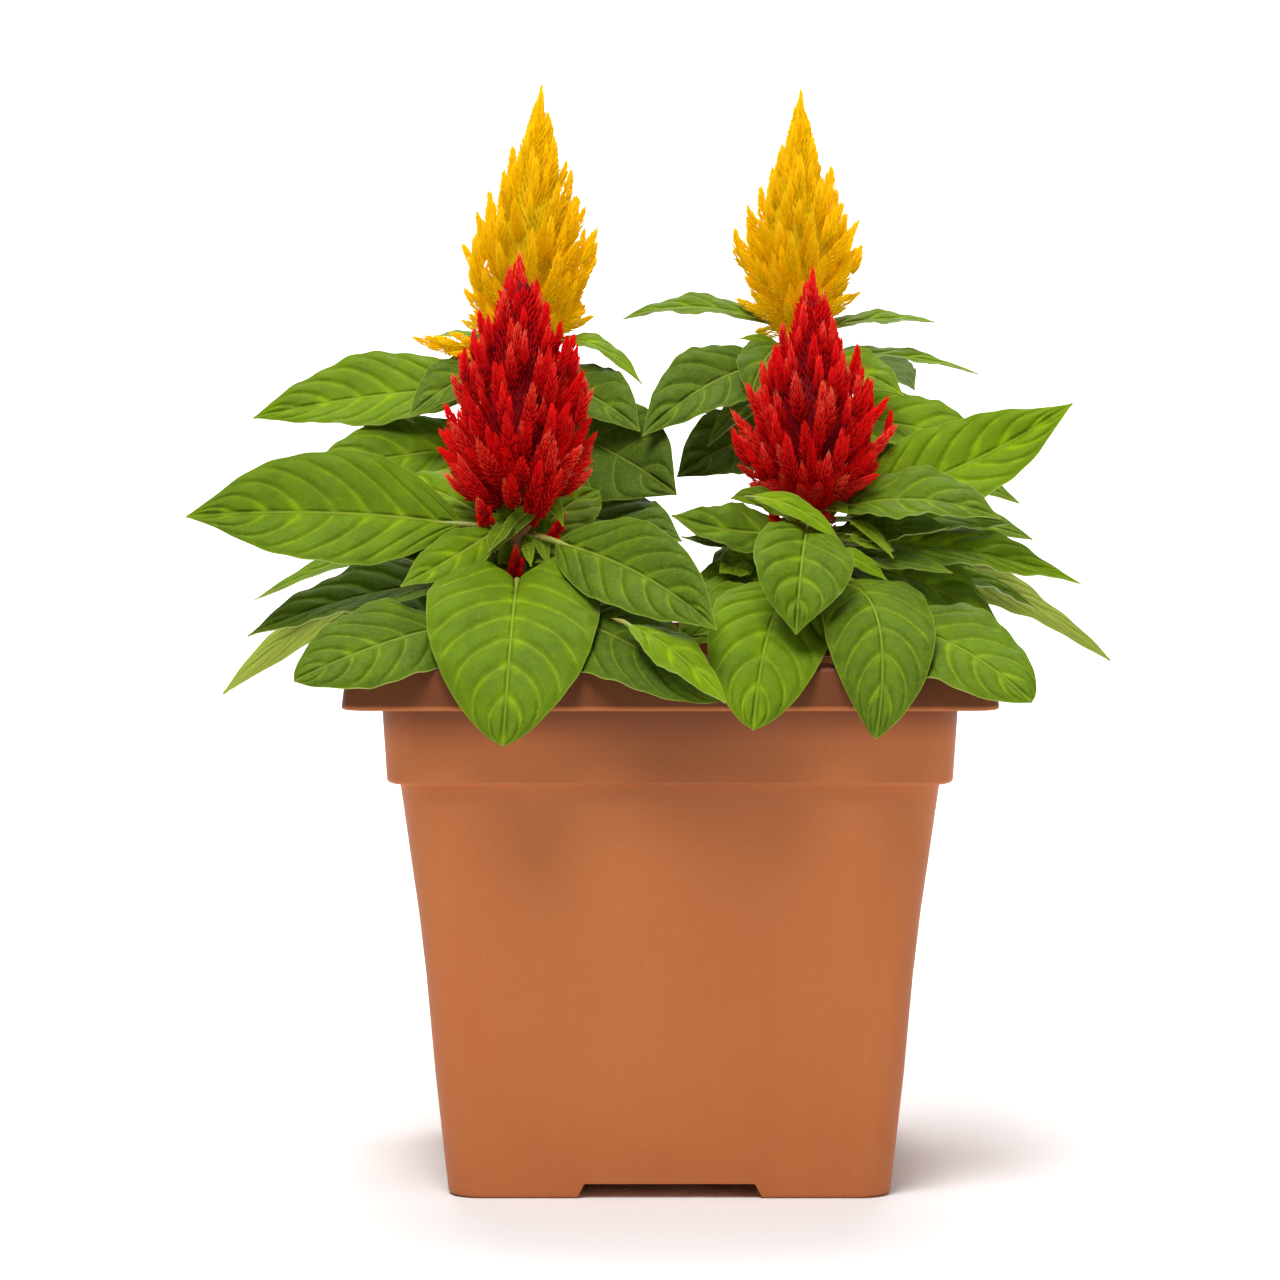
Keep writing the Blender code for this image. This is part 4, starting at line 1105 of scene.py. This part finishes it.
def grow_stem(plant):
    """A ribbed stem, thicker where its leaves leave it."""
    _, top = STEMS[plant]
    nodes = [row[0] for row in LEAVES[plant]]
    sway = random.Random(plant).uniform(0, math.tau)

    def line(part):
        height = STEM_SUNK + (top[2] - STEM_SUNK) * part
        centre = stem_point(plant, height)
        centre = centre + Vector((math.sin(part * 9 + sway), math.cos(part * 7 + sway), 0)) * 0.5
        knot = sum(math.exp(-((height - node) / 2.6) ** 2) for node in nodes)
        radius = STEM_RADIUS[0] + (STEM_RADIUS[1] - STEM_RADIUS[0]) * part
        return centre, (1, 0, 0), (0, 1, 0), radius + 0.35 * min(1.5, knot)

    piece, shares = tube(f"stem_{plant}", line, 20, 56)
    places = spots(piece) / MM
    for index, share_up in enumerate(shares):
        middle = np.array(line(float(share_up))[0])
        out = places[index] - middle
        turn = math.atan2(out[1], out[0])
        places[index] = middle + out * (1 + 0.07 * math.cos(turn * 5))
    move_spots(piece, places * MM)
    mark(piece, blush=0.25 + 0.75 * shares)
    wear_materials(piece, LEAF_LAYERS[STALK])
    return piece


# Small leaves crowded round the front stems: where each starts and ends, its width, how far it is turned
# to the front in degrees, the rise of its middle, and how young its green is
CLOSE_LEAVES = {
    "front_left": [
        ((-49, -66, 279), (-71, -74, 261), 8, 55, 5, 0.5),
        ((-59, -64, 266), (-56, -73, 255), 5, 20, 2, 0.9),
        ((-55, -64, 269), (-49, -73, 255), 6, 40, 3, 0.6),
        ((-60, -62, 251), (-37, -72, 260), 11, 60, -2, 0.8),
        ((-51, -64, 280), (-43, -72, 271), 6, 50, 5, 0.6),
        ((-64, -62, 252), (-84, -74, 253), 9, 50, 3, 0.6),
        ((-65, -64, 267), (-74, -72, 260), 7, 60, 2, 0.9),
        ((-66, -60, 272), (-70, -70, 262), 6, 50, 2, 1.0),
        ((-60, -52, 262), (-44, -46, 272), 12, 60, 0, 0.5),
        ((-65, -52, 258), (-84, -46, 268), 13, 60, 0, 0.4),
        ((-62, -52, 246), (-52, -44, 262), 14, 70, 0, 0.3),
        ((-62, -52, 250), (-70, -44, 264), 13, 70, 0, 0.4),
        ((-58, -60, 246), (-45, -80, 248), 9, 30, 3, 0.7),
        ((-24, -124, 238), (22, -160, 207), 20, 25, 6, 0.9),
        ((-66, -50, 246), (-69, -40, 290), 24, 75, 0, 0.4),
        ((-54, -50, 240), (-46, -36, 268), 16, 80, 0, 0.5),
        ((-66, -60, 246), (-80, -84, 246), 9, 30, 3, 0.7),
    ],
    "front_right": [
        ((27, -88, 284), (69, -98, 266), 10, 50, 6, 0.9),
        ((60, -74, 262), (88, -84, 250), 9, 40, 3, 0.9),
        ((70, -68, 268), (90, -84, 262), 9, 50, 2, 0.7),
        ((62, -64, 277), (73, -74, 276), 5, 50, 3, 0.9),
        ((70, -70, 274), (90, -88, 259), 5, 40, 4, 0.7),
        ((50, -64, 266), (4, -76, 268), 9, 40, -2, 0.2),
        ((28, -60, 262), (38, -64, 257), 8, 60, 0, 0.9),
        ((36, -62, 256), (20, -76, 253), 14, 50, 2, 0.7),
        ((60, -52, 258), (76, -46, 270), 13, 60, 0, 0.4),
        ((54, -52, 256), (38, -46, 268), 13, 60, 0, 0.4),
        ((58, -52, 246), (66, -44, 262), 14, 70, 0, 0.3),
        ((58, -52, 250), (50, -44, 264), 13, 70, 0, 0.4),
        ((50, -66, 250), (2, -70, 240), 20, 60, 4, 0.4),
        ((50, -68, 242), (4, -104, 224), 24, 45, 6, 0.6),
    ],
}


def close_leaves(plant):
    """The small leaves that the photographed side shows, with the green of each."""
    draw = random.Random(f"close {plant}")
    for start, tip, width, face, rise, tone in CLOSE_LEAVES.get(plant, ()):
        leaf = Leaf(plant, (start[2], tip, width, face, rise, 0, 0.42, 0), draw.uniform(0, math.tau))
        leaf.root = Vector(start)
        yield leaf, tone


def small_leaves(plant, top):
    """The small narrow leaves that crowd the axils under a plume."""
    draw = random.Random(f"axils {plant}")
    rows = []
    for number in range(AXIL_LEAVES):
        node = top - 5 - 46 * (number / (AXIL_LEAVES - 1)) ** 0.8
        angle = GOLDEN_ANGLE * number + draw.uniform(-0.5, 0.5)
        reach = draw.uniform(11, 27)
        base = stem_point(plant, node)
        drop = 14 * math.sin(angle) if number % 2 else 0
        height = node + draw.uniform(1, 14) + drop
        tip = (base.x + reach * math.cos(angle), base.y + reach * math.sin(angle), height)
        width, face, rise = draw.uniform(5, 9), draw.uniform(30, 65), draw.uniform(1, 4)
        rows.append((node, tip, width, face, rise, 0, 0.42, 0))
    return [Leaf(plant, row, draw.uniform(0, math.tau)) for row in rows]


# The finishes of a leaf: its face, its underside, its margin and its stalk
LEAF_LAYERS = []


def grow_plants():
    """Each plant in one piece: its stem, its settled leaves, and the small leaves under its plume."""
    choice = settings("leaf")
    LEAF_LAYERS[:] = [blade_finish("leaf_face", choice, False), blade_finish("leaf_underside", choice, True),
                      margin_finish(), stalk_finish(choice)]
    settled = settle_leaves()
    for plant, (_, top) in STEMS.items():
        draw = random.Random(f"tones {plant}")
        pieces = [grow_stem(plant)]
        for number, leaf in enumerate([leaf for leaf in settled if leaf.plant == plant]):
            # Leaves higher on the stem get a lighter green, partly for their youth and partly as painted
            # light
            low = (leaf.node - 225) / 110
            tone = min(1.0, max(0.05, 0.42 + 0.1 * low + draw.uniform(-0.2, 0.2)))
            row = (plant, float(leaf.node), float(leaf.tip.x))
            fade = 0.75 if row in FADED else 0.0
            tone = PAINTED_LIGHT_AND_SHADE.get(row, tone)
            pieces.append(grow_blade(leaf, f"blade_{number}", tone, fade, choice))
            pieces.append(grow_stalk(leaf, f"stalk_{number}", choice))
        small = [(leaf, draw.uniform(0.4, 1.0)) for leaf in small_leaves(plant, top[2])]
        for number, (leaf, tone) in enumerate([*small, *close_leaves(plant)]):
            pieces.append(grow_blade(leaf, f"small_blade_{number}", tone, 0.0, choice))
            pieces.append(grow_stalk(leaf, f"small_stalk_{number}", choice))
        for name, (owner, height, foot, *_) in SIDE_PLUMES.items():
            if owner == plant:
                pieces.append(grow_branch(name, stem_point(plant, height), Vector(foot)))
        plant_piece = joined(pieces, f"leafy_stem_{plant}")
        smooth(plant_piece, 60.0)
        hand_over(plant_piece, "leaf", f"plant_{plant}")


def grow_branch(name, start, end):
    """The short branch that carries a side plume."""
    way = (end - start).normalized()
    side = way.cross(Vector((0, 0, 1))).normalized()
    other = side.cross(way)

    def line(part):
        return start.lerp(end, part), side, other, 1.6 - 0.5 * part

    piece, _ = tube(f"branch_{name}", line, 8, 8)
    mark(piece, blush=1.0)
    wear_materials(piece, LEAF_LAYERS[STALK])
    return piece


# Plumes
# What all heads share: the floret's shape, and a finish for each colour
MASTERS = {}
RED_BRACT = (0.45, 0.16, 0.09)
YELLOW_BRACT = (0.40, 0.38, 0.02)
RED_GLOW = 0.04
YELLOW_GLOW = 0.12
# Brings the greatest value of sqrt(part) * (1 - part) ** 0.9 to 1
FLAME = 2.49
# A head that is widest below this share of its height is a broad one
LOW_BELLY = 0.3
CORE_FLORETS = 1500
SKIRT_PLUMELETS = 13


def floret_master():
    """A slim three-sided petal, pointed at both ends, one unit long and one unit in radius."""
    piece = fresh("floret", bpy.ops.mesh.primitive_cone_add, vertices=3, radius1=1.0, radius2=0.0,
                  depth=1.0, end_fill_type="TRIFAN", location=(0, 0, 0.5))
    bpy.ops.object.transform_apply(location=True)
    places = spots(piece)
    ring = np.hypot(places[:, 0], places[:, 1]) > 0.5
    places[ring, 2] = 0.36
    faces = np.array([list(face.vertices) for face in piece.data.polygons])
    bpy.data.objects.remove(piece, do_unlink=True)
    return places, faces


def plumelets(name, foot, tip, form, spikes):
    """The large plumelets of a head, at the places and sizes of its solid's spikes."""
    height, greatest = (tip - foot).length, form[0]
    draw = random.Random(name)
    for number in range(spikes):
        place = (number + 0.5) / spikes
        up = 0.16 + 0.84 * (1 - (1 - place) ** 0.62)
        angle = GOLDEN_ANGLE * number
        lean = math.radians(46 - 38 * up)
        reach = min(height * 0.28, greatest * 0.95) * (1 - 0.35 * up) * draw.uniform(0.9, 1.15)
        outward = Vector((math.cos(angle), math.sin(angle), 0))
        slim = 1 - 0.45 * max(0.0, (up - 0.72) / 0.28)
        end = foot.lerp(tip, up) + outward * outer_radius(up, form) * draw.uniform(0.92, 1.05) * slim
        low = min(max(up - reach * math.cos(lean) / height, 0.06), CORE_HEIGHT - 0.1)
        root = foot.lerp(tip, low) + outward * plume_radius(low, *form) * CORE_SHARE * 0.7 * slim
        yield root, end + (end - root) * 0.06, reach * 0.29 * (0.5 + 0.5 * slim), outward, up


def low_edge(form):
    """Where a head's lowest florets stand, as a share of its height: a broad head leaves its neck bare."""
    return 0.09 if form[1] < LOW_BELLY else 0.02


def outer_radius(up, form):
    """How far the plumelets reach out: a broad head has round flanks and a nearly flat foot."""
    widest, above = form[1], form[3]
    full = 1.0
    if above < 0.9 and up > widest:
        full += 0.13 * math.sin(math.pi * (up - widest) / (1 - widest))
    if widest < LOW_BELLY and up < widest:
        up += (widest - up) * 0.6
    return plume_radius(up, *form) * full


def filler_plumelets(name, foot, tip, form, total):
    """Smaller plumelets in between the large ones, a skirt of long ones, and the leader at the tip."""
    height, greatest = (tip - foot).length, form[0]
    draw = random.Random(f"{name} fillers")
    axis = (tip - foot).normalized()
    start = low_edge(form)
    for number in range(total):
        up = start + (0.98 - start) * ((number + 0.5) / total) ** 1.05
        angle = GOLDEN_ANGLE * number + draw.uniform(-0.5, 0.5)
        outward = Vector((math.cos(angle), math.sin(angle), 0))
        reach = min(height * 0.27, greatest * 0.95) * (1 - 0.5 * up) * draw.uniform(0.7, 1.2)
        lean = math.radians(8 + 64 * (1 - up) ** 3.5 + draw.uniform(-6, 10))
        slim = 1 - 0.65 * max(0.0, (up - 0.70) / 0.30)
        end = foot.lerp(tip, up) + outward * outer_radius(up, form) * draw.uniform(0.62, 1.02) * slim
        root = end - (outward * math.sin(lean) + axis * math.cos(lean)) * reach
        yield root, end, reach * draw.uniform(0.22, 0.29) * (0.6 + 0.4 * slim), outward, up
    for number in range(SKIRT_PLUMELETS):
        angle = math.tau * (number + draw.uniform(-0.3, 0.3)) / SKIRT_PLUMELETS
        outward = Vector((math.cos(angle), math.sin(angle), 0))
        up = start + draw.uniform(0.06, 0.15)
        root = foot.lerp(tip, start) + outward * 2.0
        end = foot.lerp(tip, up) + outward * greatest * draw.uniform(0.76, 1.0)
        yield root, end, greatest * draw.uniform(0.20, 0.26), outward, up * 0.6
    yield foot.lerp(tip, 0.66), tip + Vector((0, 0, 1.5)), greatest * 0.19, Vector((0, -1, 0)), 0.97


def small_head(name, foot, tip, form, spikes):
    """The plumelets of a small head: one that makes its body, and a few that lie against it."""
    draw = random.Random(name)
    axis = (tip - foot).normalized()
    side = axis.cross(Vector((0.3, 1, 0.1))).normalized()
    height, greatest = (tip - foot).length, form[0]
    yield foot - axis, tip, greatest * 1.5, side, 0.9
    for number in range(spikes + 3):
        outward = Matrix.Rotation(GOLDEN_ANGLE * number, 3, axis) @ side
        up = 0.25 + 0.6 * number / (spikes + 2)
        end = foot.lerp(tip, up) + outward * plume_radius(up, *form) * draw.uniform(0.95, 1.15)
        root = end - axis * height * 0.36 - outward * greatest * 0.5
        yield root, end, greatest * 0.75, outward, 0.5 + up * 0.5


def unit(ways):
    return ways / np.linalg.norm(ways, axis=-1, keepdims=True)


def flame(part, width):
    """Half the width of a plumelet at a part of its length: full low down and drawn to a point."""
    part = np.clip(part, 0.0, 1.0)
    return width / 2 * FLAME * np.sqrt(part) * (1 - part) ** 0.9


def florets_round(middle, ahead, radial, start, end_radius, reach, thick):
    """Places of florets that start on an axis and touch an outline with their points."""
    splay = np.arcsin(np.clip((end_radius - start) / reach, -0.15, 0.85))[:, None]
    point = ahead * np.cos(splay) + radial * np.sin(splay)
    over = unit(np.cross(point, radial))
    under = np.cross(over, point)
    shape = MASTERS["floret"][0]
    base = middle + radial * start[:, None]
    return (base[:, None, :]
            + shape[None, :, 0:1] * (over * thick[:, None])[:, None, :]
            + shape[None, :, 1:2] * (under * thick[:, None])[:, None, :]
            + shape[None, :, 2:3] * (point * reach[:, None])[:, None, :])


def plumelet_florets(draw, root, end, width, outward, total, long, wide):
    """One plumelet: florets laid round a bent axis, so that it looks like a flame."""
    root, end, outward = np.array(root), np.array(end), np.array(outward)
    length = np.linalg.norm(end - root)
    control = (root + end) / 2 + outward * length * 0.10 - np.array((0, 0, length * 0.05))
    last = max(0.35, 1 - 0.85 * long / length)
    low = np.linspace(0.02, last, total)
    rest = (1 - low)[:, None]
    part = low[:, None]
    middle = root * rest ** 2 + control * 2 * part * rest + end * part ** 2
    ahead = unit((control - root) * rest + (end - control) * part)
    side = unit(np.cross(ahead, (0.3, 0.2, 0.93)))
    other = np.cross(side, ahead)
    turn = (draw.uniform(0, math.tau) + GOLDEN_ANGLE * np.arange(total))[:, None]
    radial = side * np.cos(turn) + other * np.sin(turn)
    stray = draw.random(total) < 0.2
    reach = long * draw.uniform(0.75, 1.15, total) * (1 - 0.25 * low) * np.where(stray, 1.25, 1.0)
    start = flame(low, width) * 0.35
    end_radius = flame(low + reach * 0.93 / length, width) * draw.uniform(0.8, 1.2, total)
    end_radius = end_radius + np.where(stray, 0.8, 0.0)
    thick = wide * draw.uniform(0.75, 1.2, total) * (1 - 0.3 * low) * np.where(stray, 0.6, 1.0)
    return florets_round(middle, ahead, radial, start, end_radius, reach, thick), low


def core_florets(draw, foot, tip, form, total, long, wide):
    """Short florets all over the core, dark with painted shade, which show between the plumelets."""
    foot, tip = np.array(foot), np.array(tip)
    up = low_edge(form) + (0.82 - low_edge(form)) * (np.arange(total) + 0.5) / total
    turn = (GOLDEN_ANGLE * np.arange(total))[:, None]
    radial = np.concatenate([np.cos(turn), np.sin(turn), np.zeros_like(turn)], axis=1)
    middle = foot + (tip - foot) * up[:, None]
    ahead = np.broadcast_to(unit(tip - foot), middle.shape)
    radius = np.array([plume_radius(float(value), *form) for value in up]) * CORE_SHARE
    reach = long * draw.uniform(0.9, 1.5, total) * (1 - 0.4 * up)
    thick = wide * draw.uniform(0.9, 1.3, total)
    start = radius * 0.72
    end_radius = start + reach * draw.uniform(0.2, 0.6, total)
    return florets_round(middle, ahead, radial, start, end_radius, reach, thick), up


def grow_plume(name, foot, tip, form, spikes, colour_name):
    """One head in one piece: florets on all its plumelets, round a dense core."""
    choice = settings("plume")
    foot, tip = Vector(foot), Vector(tip)
    great = form[0] > 10
    draw = np.random.default_rng(sum(map(ord, name)))
    size = 1.0 if great else 0.6
    long, wide = choice.floret / MM * size, choice.floret_width / MM / 2 * size
    if colour_name == "yellow":
        long, wide = long * 1.1, wide * 0.85
    if great:
        tufts = list(plumelets(name, foot, tip, form, spikes))
        tufts += filler_plumelets(name, foot, tip, form, choice.fillers)
    else:
        tufts = list(small_head(name, foot, tip, form, spikes))
    shape, corners = MASTERS["floret"]
    places, outers, tones, heights = [], [], [], []

    def keep(made, outer, tone, up):
        places.append(made)
        outers.append(np.repeat(outer, len(shape)))
        tones.append(np.repeat(tone, len(shape)))
        heights.append(np.full(made.shape[0] * len(shape), up))

    for root, end, width, outward, up in tufts:
        length = (end - root).length
        total = max(26, int(choice.florets * (length / 25) * (0.5 + 0.5 * width / 8) / size ** 2))
        made, low = plumelet_florets(draw, root, end, width, outward, total, long, wide)
        keep(made, 0.25 + 0.75 * low, 0.75 * draw.random() + 0.25 * draw.random(total), up)
    if great:
        made, up = core_florets(draw, foot, tip, form, CORE_FLORETS, long, wide)
        keep(made, 0.05 + 0.4 * np.clip((up - 0.5) / 0.3, 0, 1), np.zeros(len(made)), 0.6)
    places = np.concatenate(places)
    total = len(places)
    faces = corners[None, :, :] + len(shape) * np.arange(total)[:, None, None]
    faces = faces.reshape(-1, corners.shape[1])
    florets = laid_out(f"florets_{name}", places.reshape(-1, 3) * MM, faces.tolist())
    mark(florets, floret=np.tile(shape[:, 2], total), outer=np.concatenate(outers),
         tone=np.concatenate(tones), height=np.concatenate(heights))
    core = plume_core(name, foot, tip, form)
    plume = joined([florets, core], name.replace("plume", "feathery_plume"))
    wear_materials(plume, MASTERS[colour_name])
    smooth(plume, 70.0)
    hand_over(plume, f"{colour_name}_plume", name)


def plume_core(name, foot, tip, form):
    """The dense middle of a head, which shows only as painted shade between its florets."""
    def line(part):
        up = part * CORE_HEIGHT
        radius = max(0.3, plume_radius(up, *form) * CORE_SHARE * 0.8)
        return foot.lerp(tip, up), (1, 0, 0), (0, 1, 0), radius

    core, parts = tube(f"core_{name}", line, 20, 22)
    mark(core, floret=0.0, outer=0.0, tone=0.0, height=parts)
    return core


def prepare_florets():
    """Makes what the heads share, the first time that it is needed."""
    choice = settings("plume")
    if "floret" in MASTERS:
        return
    MASTERS["floret"] = floret_master()
    MASTERS["red"] = floret_finish("red_florets", choice.red, choice.red_deep, choice.red_tip,
                                   RED_BRACT, RED_GLOW)
    MASTERS["yellow"] = floret_finish("yellow_florets", choice.yellow, choice.yellow_deep,
                                      choice.yellow_tip, YELLOW_BRACT, YELLOW_GLOW)


def grow_plumes():
    prepare_florets()
    for name, (foot, tip, *form, spikes, colour_name) in PLUMES.items():
        grow_plume(name, foot, tip, form, spikes, colour_name)


def grow_side_plumes():
    prepare_florets()
    for name, (_, _, foot, tip, greatest, spikes, colour_name) in SIDE_PLUMES.items():
        grow_plume(name, foot, tip, (greatest, *SIDE_PLUME_FORM), spikes, colour_name)


# Stage
CAMERA_PLACE = (-0.012, -2.0, 0.37)
CAMERA_AIM = (-0.012, 0.0, 0.220)
SENSOR = 36.0
# The photo is 1280 pixels across, and its focal length is 4775 of them
LENS = 4775.0 / 1280.0 * SENSOR
SWEEP_HALF_WIDTH = 6.0
SWEEP_LENGTH = 13.4
SWEEP_FRONT = 7.0
SWEEP_FLAT = 9.6
SWEEP_RADIUS = 1.0
# Name, place, what it shines on, width, the setting that has its power, and its share of that power
SOFT_LIGHTS = (
    ("key_light", (-0.35, -1.1, 2.0), (0, 0, 0.22), 1.0, "key", 1.0),
    ("fill_light", (1.5, -1.3, 0.9), (0, 0, 0.22), 1.4, "fill", 1.0),
    ("top_light", (0.25, 0.2, 2.1), (0, 0, 0.25), 1.2, "top", 1.0),
    ("back_light", (0.0, 0.9, 2.2), (0, 1.7, 0.0), 1.6, "back", 0.5),
    ("backdrop_light", (0.0, 2.4, 2.4), (0, 3.6, 0.4), 2.2, "back", 1.9),
)


def aimed(item, place, aim):
    item.location = place
    item.rotation_euler = (Vector(aim) - Vector(place)).to_track_quat("-Z", "Y").to_euler()


def soft_light(name, place, aim, width, power):
    """A round area light that the camera doesn't see."""
    bpy.ops.object.light_add(type="AREA", location=place)
    light = bpy.context.active_object
    light.name = name
    light.data.shape = "DISK"
    light.data.size = width
    light.data.energy = power
    light.visible_camera = False
    aimed(light, place, aim)


def paper_sweep():
    """A flat sheet of paper that curves up into a wall behind the pot."""
    add = bpy.ops.mesh.primitive_grid_add
    floor = fresh("paper_sweep", add, x_subdivisions=8, y_subdivisions=80, size=2.0)
    places = spots(floor)
    run = (places[:, 1] + 1) / 2 * SWEEP_LENGTH
    arc = np.clip((run - SWEEP_FLAT) / SWEEP_RADIUS, 0, math.pi / 2)
    rise = np.maximum(0.0, run - SWEEP_FLAT - SWEEP_RADIUS * math.pi / 2)
    places[:, 0] *= SWEEP_HALF_WIDTH
    places[:, 1] = np.minimum(run, SWEEP_FLAT) - SWEEP_FRONT + SWEEP_RADIUS * np.sin(arc)
    places[:, 2] = SWEEP_RADIUS * (1 - np.cos(arc)) + rise
    move_spots(floor, places)
    smooth(floor)
    return floor


def set_stage():
    """The paper sweep, the soft lights, and the camera at the photo's place."""
    choice = settings("stage")
    floor = paper_sweep()
    finish = Finish("paper", roughness=0.9, specular_ior_level=0.2)
    tooth = finish.noise(6.0, 2.0)
    paler = tuple(min(1.0, part * 1.04) for part in choice.floor)
    wear_materials(floor, finish.wear(base_color=finish.mix(tooth, tuple(choice.floor), paler)))
    for name, place, aim, width, kind, portion in SOFT_LIGHTS:
        soft_light(name, place, aim, width, getattr(choice, kind) * portion)
    bpy.context.scene.view_settings.view_transform = "Standard"
    world = bpy.data.worlds.new("studio")
    bpy.context.scene.world = world
    world.use_nodes = True
    background = world.node_tree.nodes["Background"]
    background.inputs["Color"].default_value = (1.0, 1.0, 1.0, 1.0)
    background.inputs["Strength"].default_value = choice.sky
    bpy.ops.object.camera_add(location=CAMERA_PLACE)
    camera = bpy.context.active_object
    camera.name = "photo_camera"
    camera.data.sensor_width = SENSOR
    camera.data.lens = LENS
    camera.data.clip_end = 50.0
    aimed(camera, CAMERA_PLACE, CAMERA_AIM)
    bpy.context.scene.camera = camera


# Operators, panel and registration
class CELOSIA_OT_stage(bpy.types.Operator):
    """Lays the pale paper sweep and sets the soft lights and the camera"""
    bl_idname = "celosia.stage"
    bl_label = "Set the stage"

    def execute(self, context):
        set_stage()
        return {"FINISHED"}


class CELOSIA_OT_pot(bpy.types.Operator):
    """Moulds the square pot with its band, lip, feet and drain holes"""
    bl_idname = "celosia.pot"
    bl_label = "Mould the pot"

    def execute(self, context):
        grow_pot()
        return {"FINISHED"}


class CELOSIA_OT_soil(bpy.types.Operator):
    """Fills the pot with lumpy peat and loose crumbs"""
    bl_idname = "celosia.soil"
    bl_label = "Fill in the peat"

    def execute(self, context):
        grow_soil()
        return {"FINISHED"}


class CELOSIA_OT_plants(bpy.types.Operator):
    """Grows the four stems with their quilted leaves"""
    bl_idname = "celosia.plants"
    bl_label = "Grow stems and leaves"

    def execute(self, context):
        grow_plants()
        return {"FINISHED"}


class CELOSIA_OT_plumes(bpy.types.Operator):
    """Grows the four large plumes, floret by floret"""
    bl_idname = "celosia.plumes"
    bl_label = "Grow the plumes"

    def execute(self, context):
        grow_plumes()
        return {"FINISHED"}


class CELOSIA_OT_side_plumes(bpy.types.Operator):
    """Grows the small plumes that sit in the axils"""
    bl_idname = "celosia.side_plumes"
    bl_label = "Grow the side plumes"

    def execute(self, context):
        grow_side_plumes()
        return {"FINISHED"}


STEPS = (CELOSIA_OT_stage, CELOSIA_OT_pot, CELOSIA_OT_soil, CELOSIA_OT_plants, CELOSIA_OT_plumes,
         CELOSIA_OT_side_plumes)


class CELOSIA_PT_sidebar(bpy.types.Panel):
    """Lists the steps and their settings"""
    bl_idname = "CELOSIA_PT_sidebar"
    bl_label = "Potted celosia"
    bl_space_type = "VIEW_3D"
    bl_region_type = "UI"
    bl_category = "Celosia"

    def draw(self, context):
        for step in STEPS:
            self.layout.operator(step.bl_idname)
        for name, group in SETTINGS.items():
            box = self.layout.box()
            box.label(text=name.title())
            for key in group.__annotations__:
                box.prop(settings(name), key)


def register():
    for group in (*SETTINGS.values(), *STEPS, CELOSIA_PT_sidebar):
        bpy.utils.register_class(group)
    for name, group in SETTINGS.items():
        setattr(bpy.types.Scene, f"celosia_{name}", bpy.props.PointerProperty(type=group))


def unregister():
    for name in SETTINGS:
        delattr(bpy.types.Scene, f"celosia_{name}")
    for group in (CELOSIA_PT_sidebar, *reversed(STEPS), *reversed(SETTINGS.values())):
        bpy.utils.unregister_class(group)


def main():
    """Builds everything in order."""
    register()
    for step in (bpy.ops.celosia.stage, bpy.ops.celosia.pot, bpy.ops.celosia.soil, bpy.ops.celosia.plants,
                 bpy.ops.celosia.plumes, bpy.ops.celosia.side_plumes):
        step()


if __name__ == "__main__":
    main()
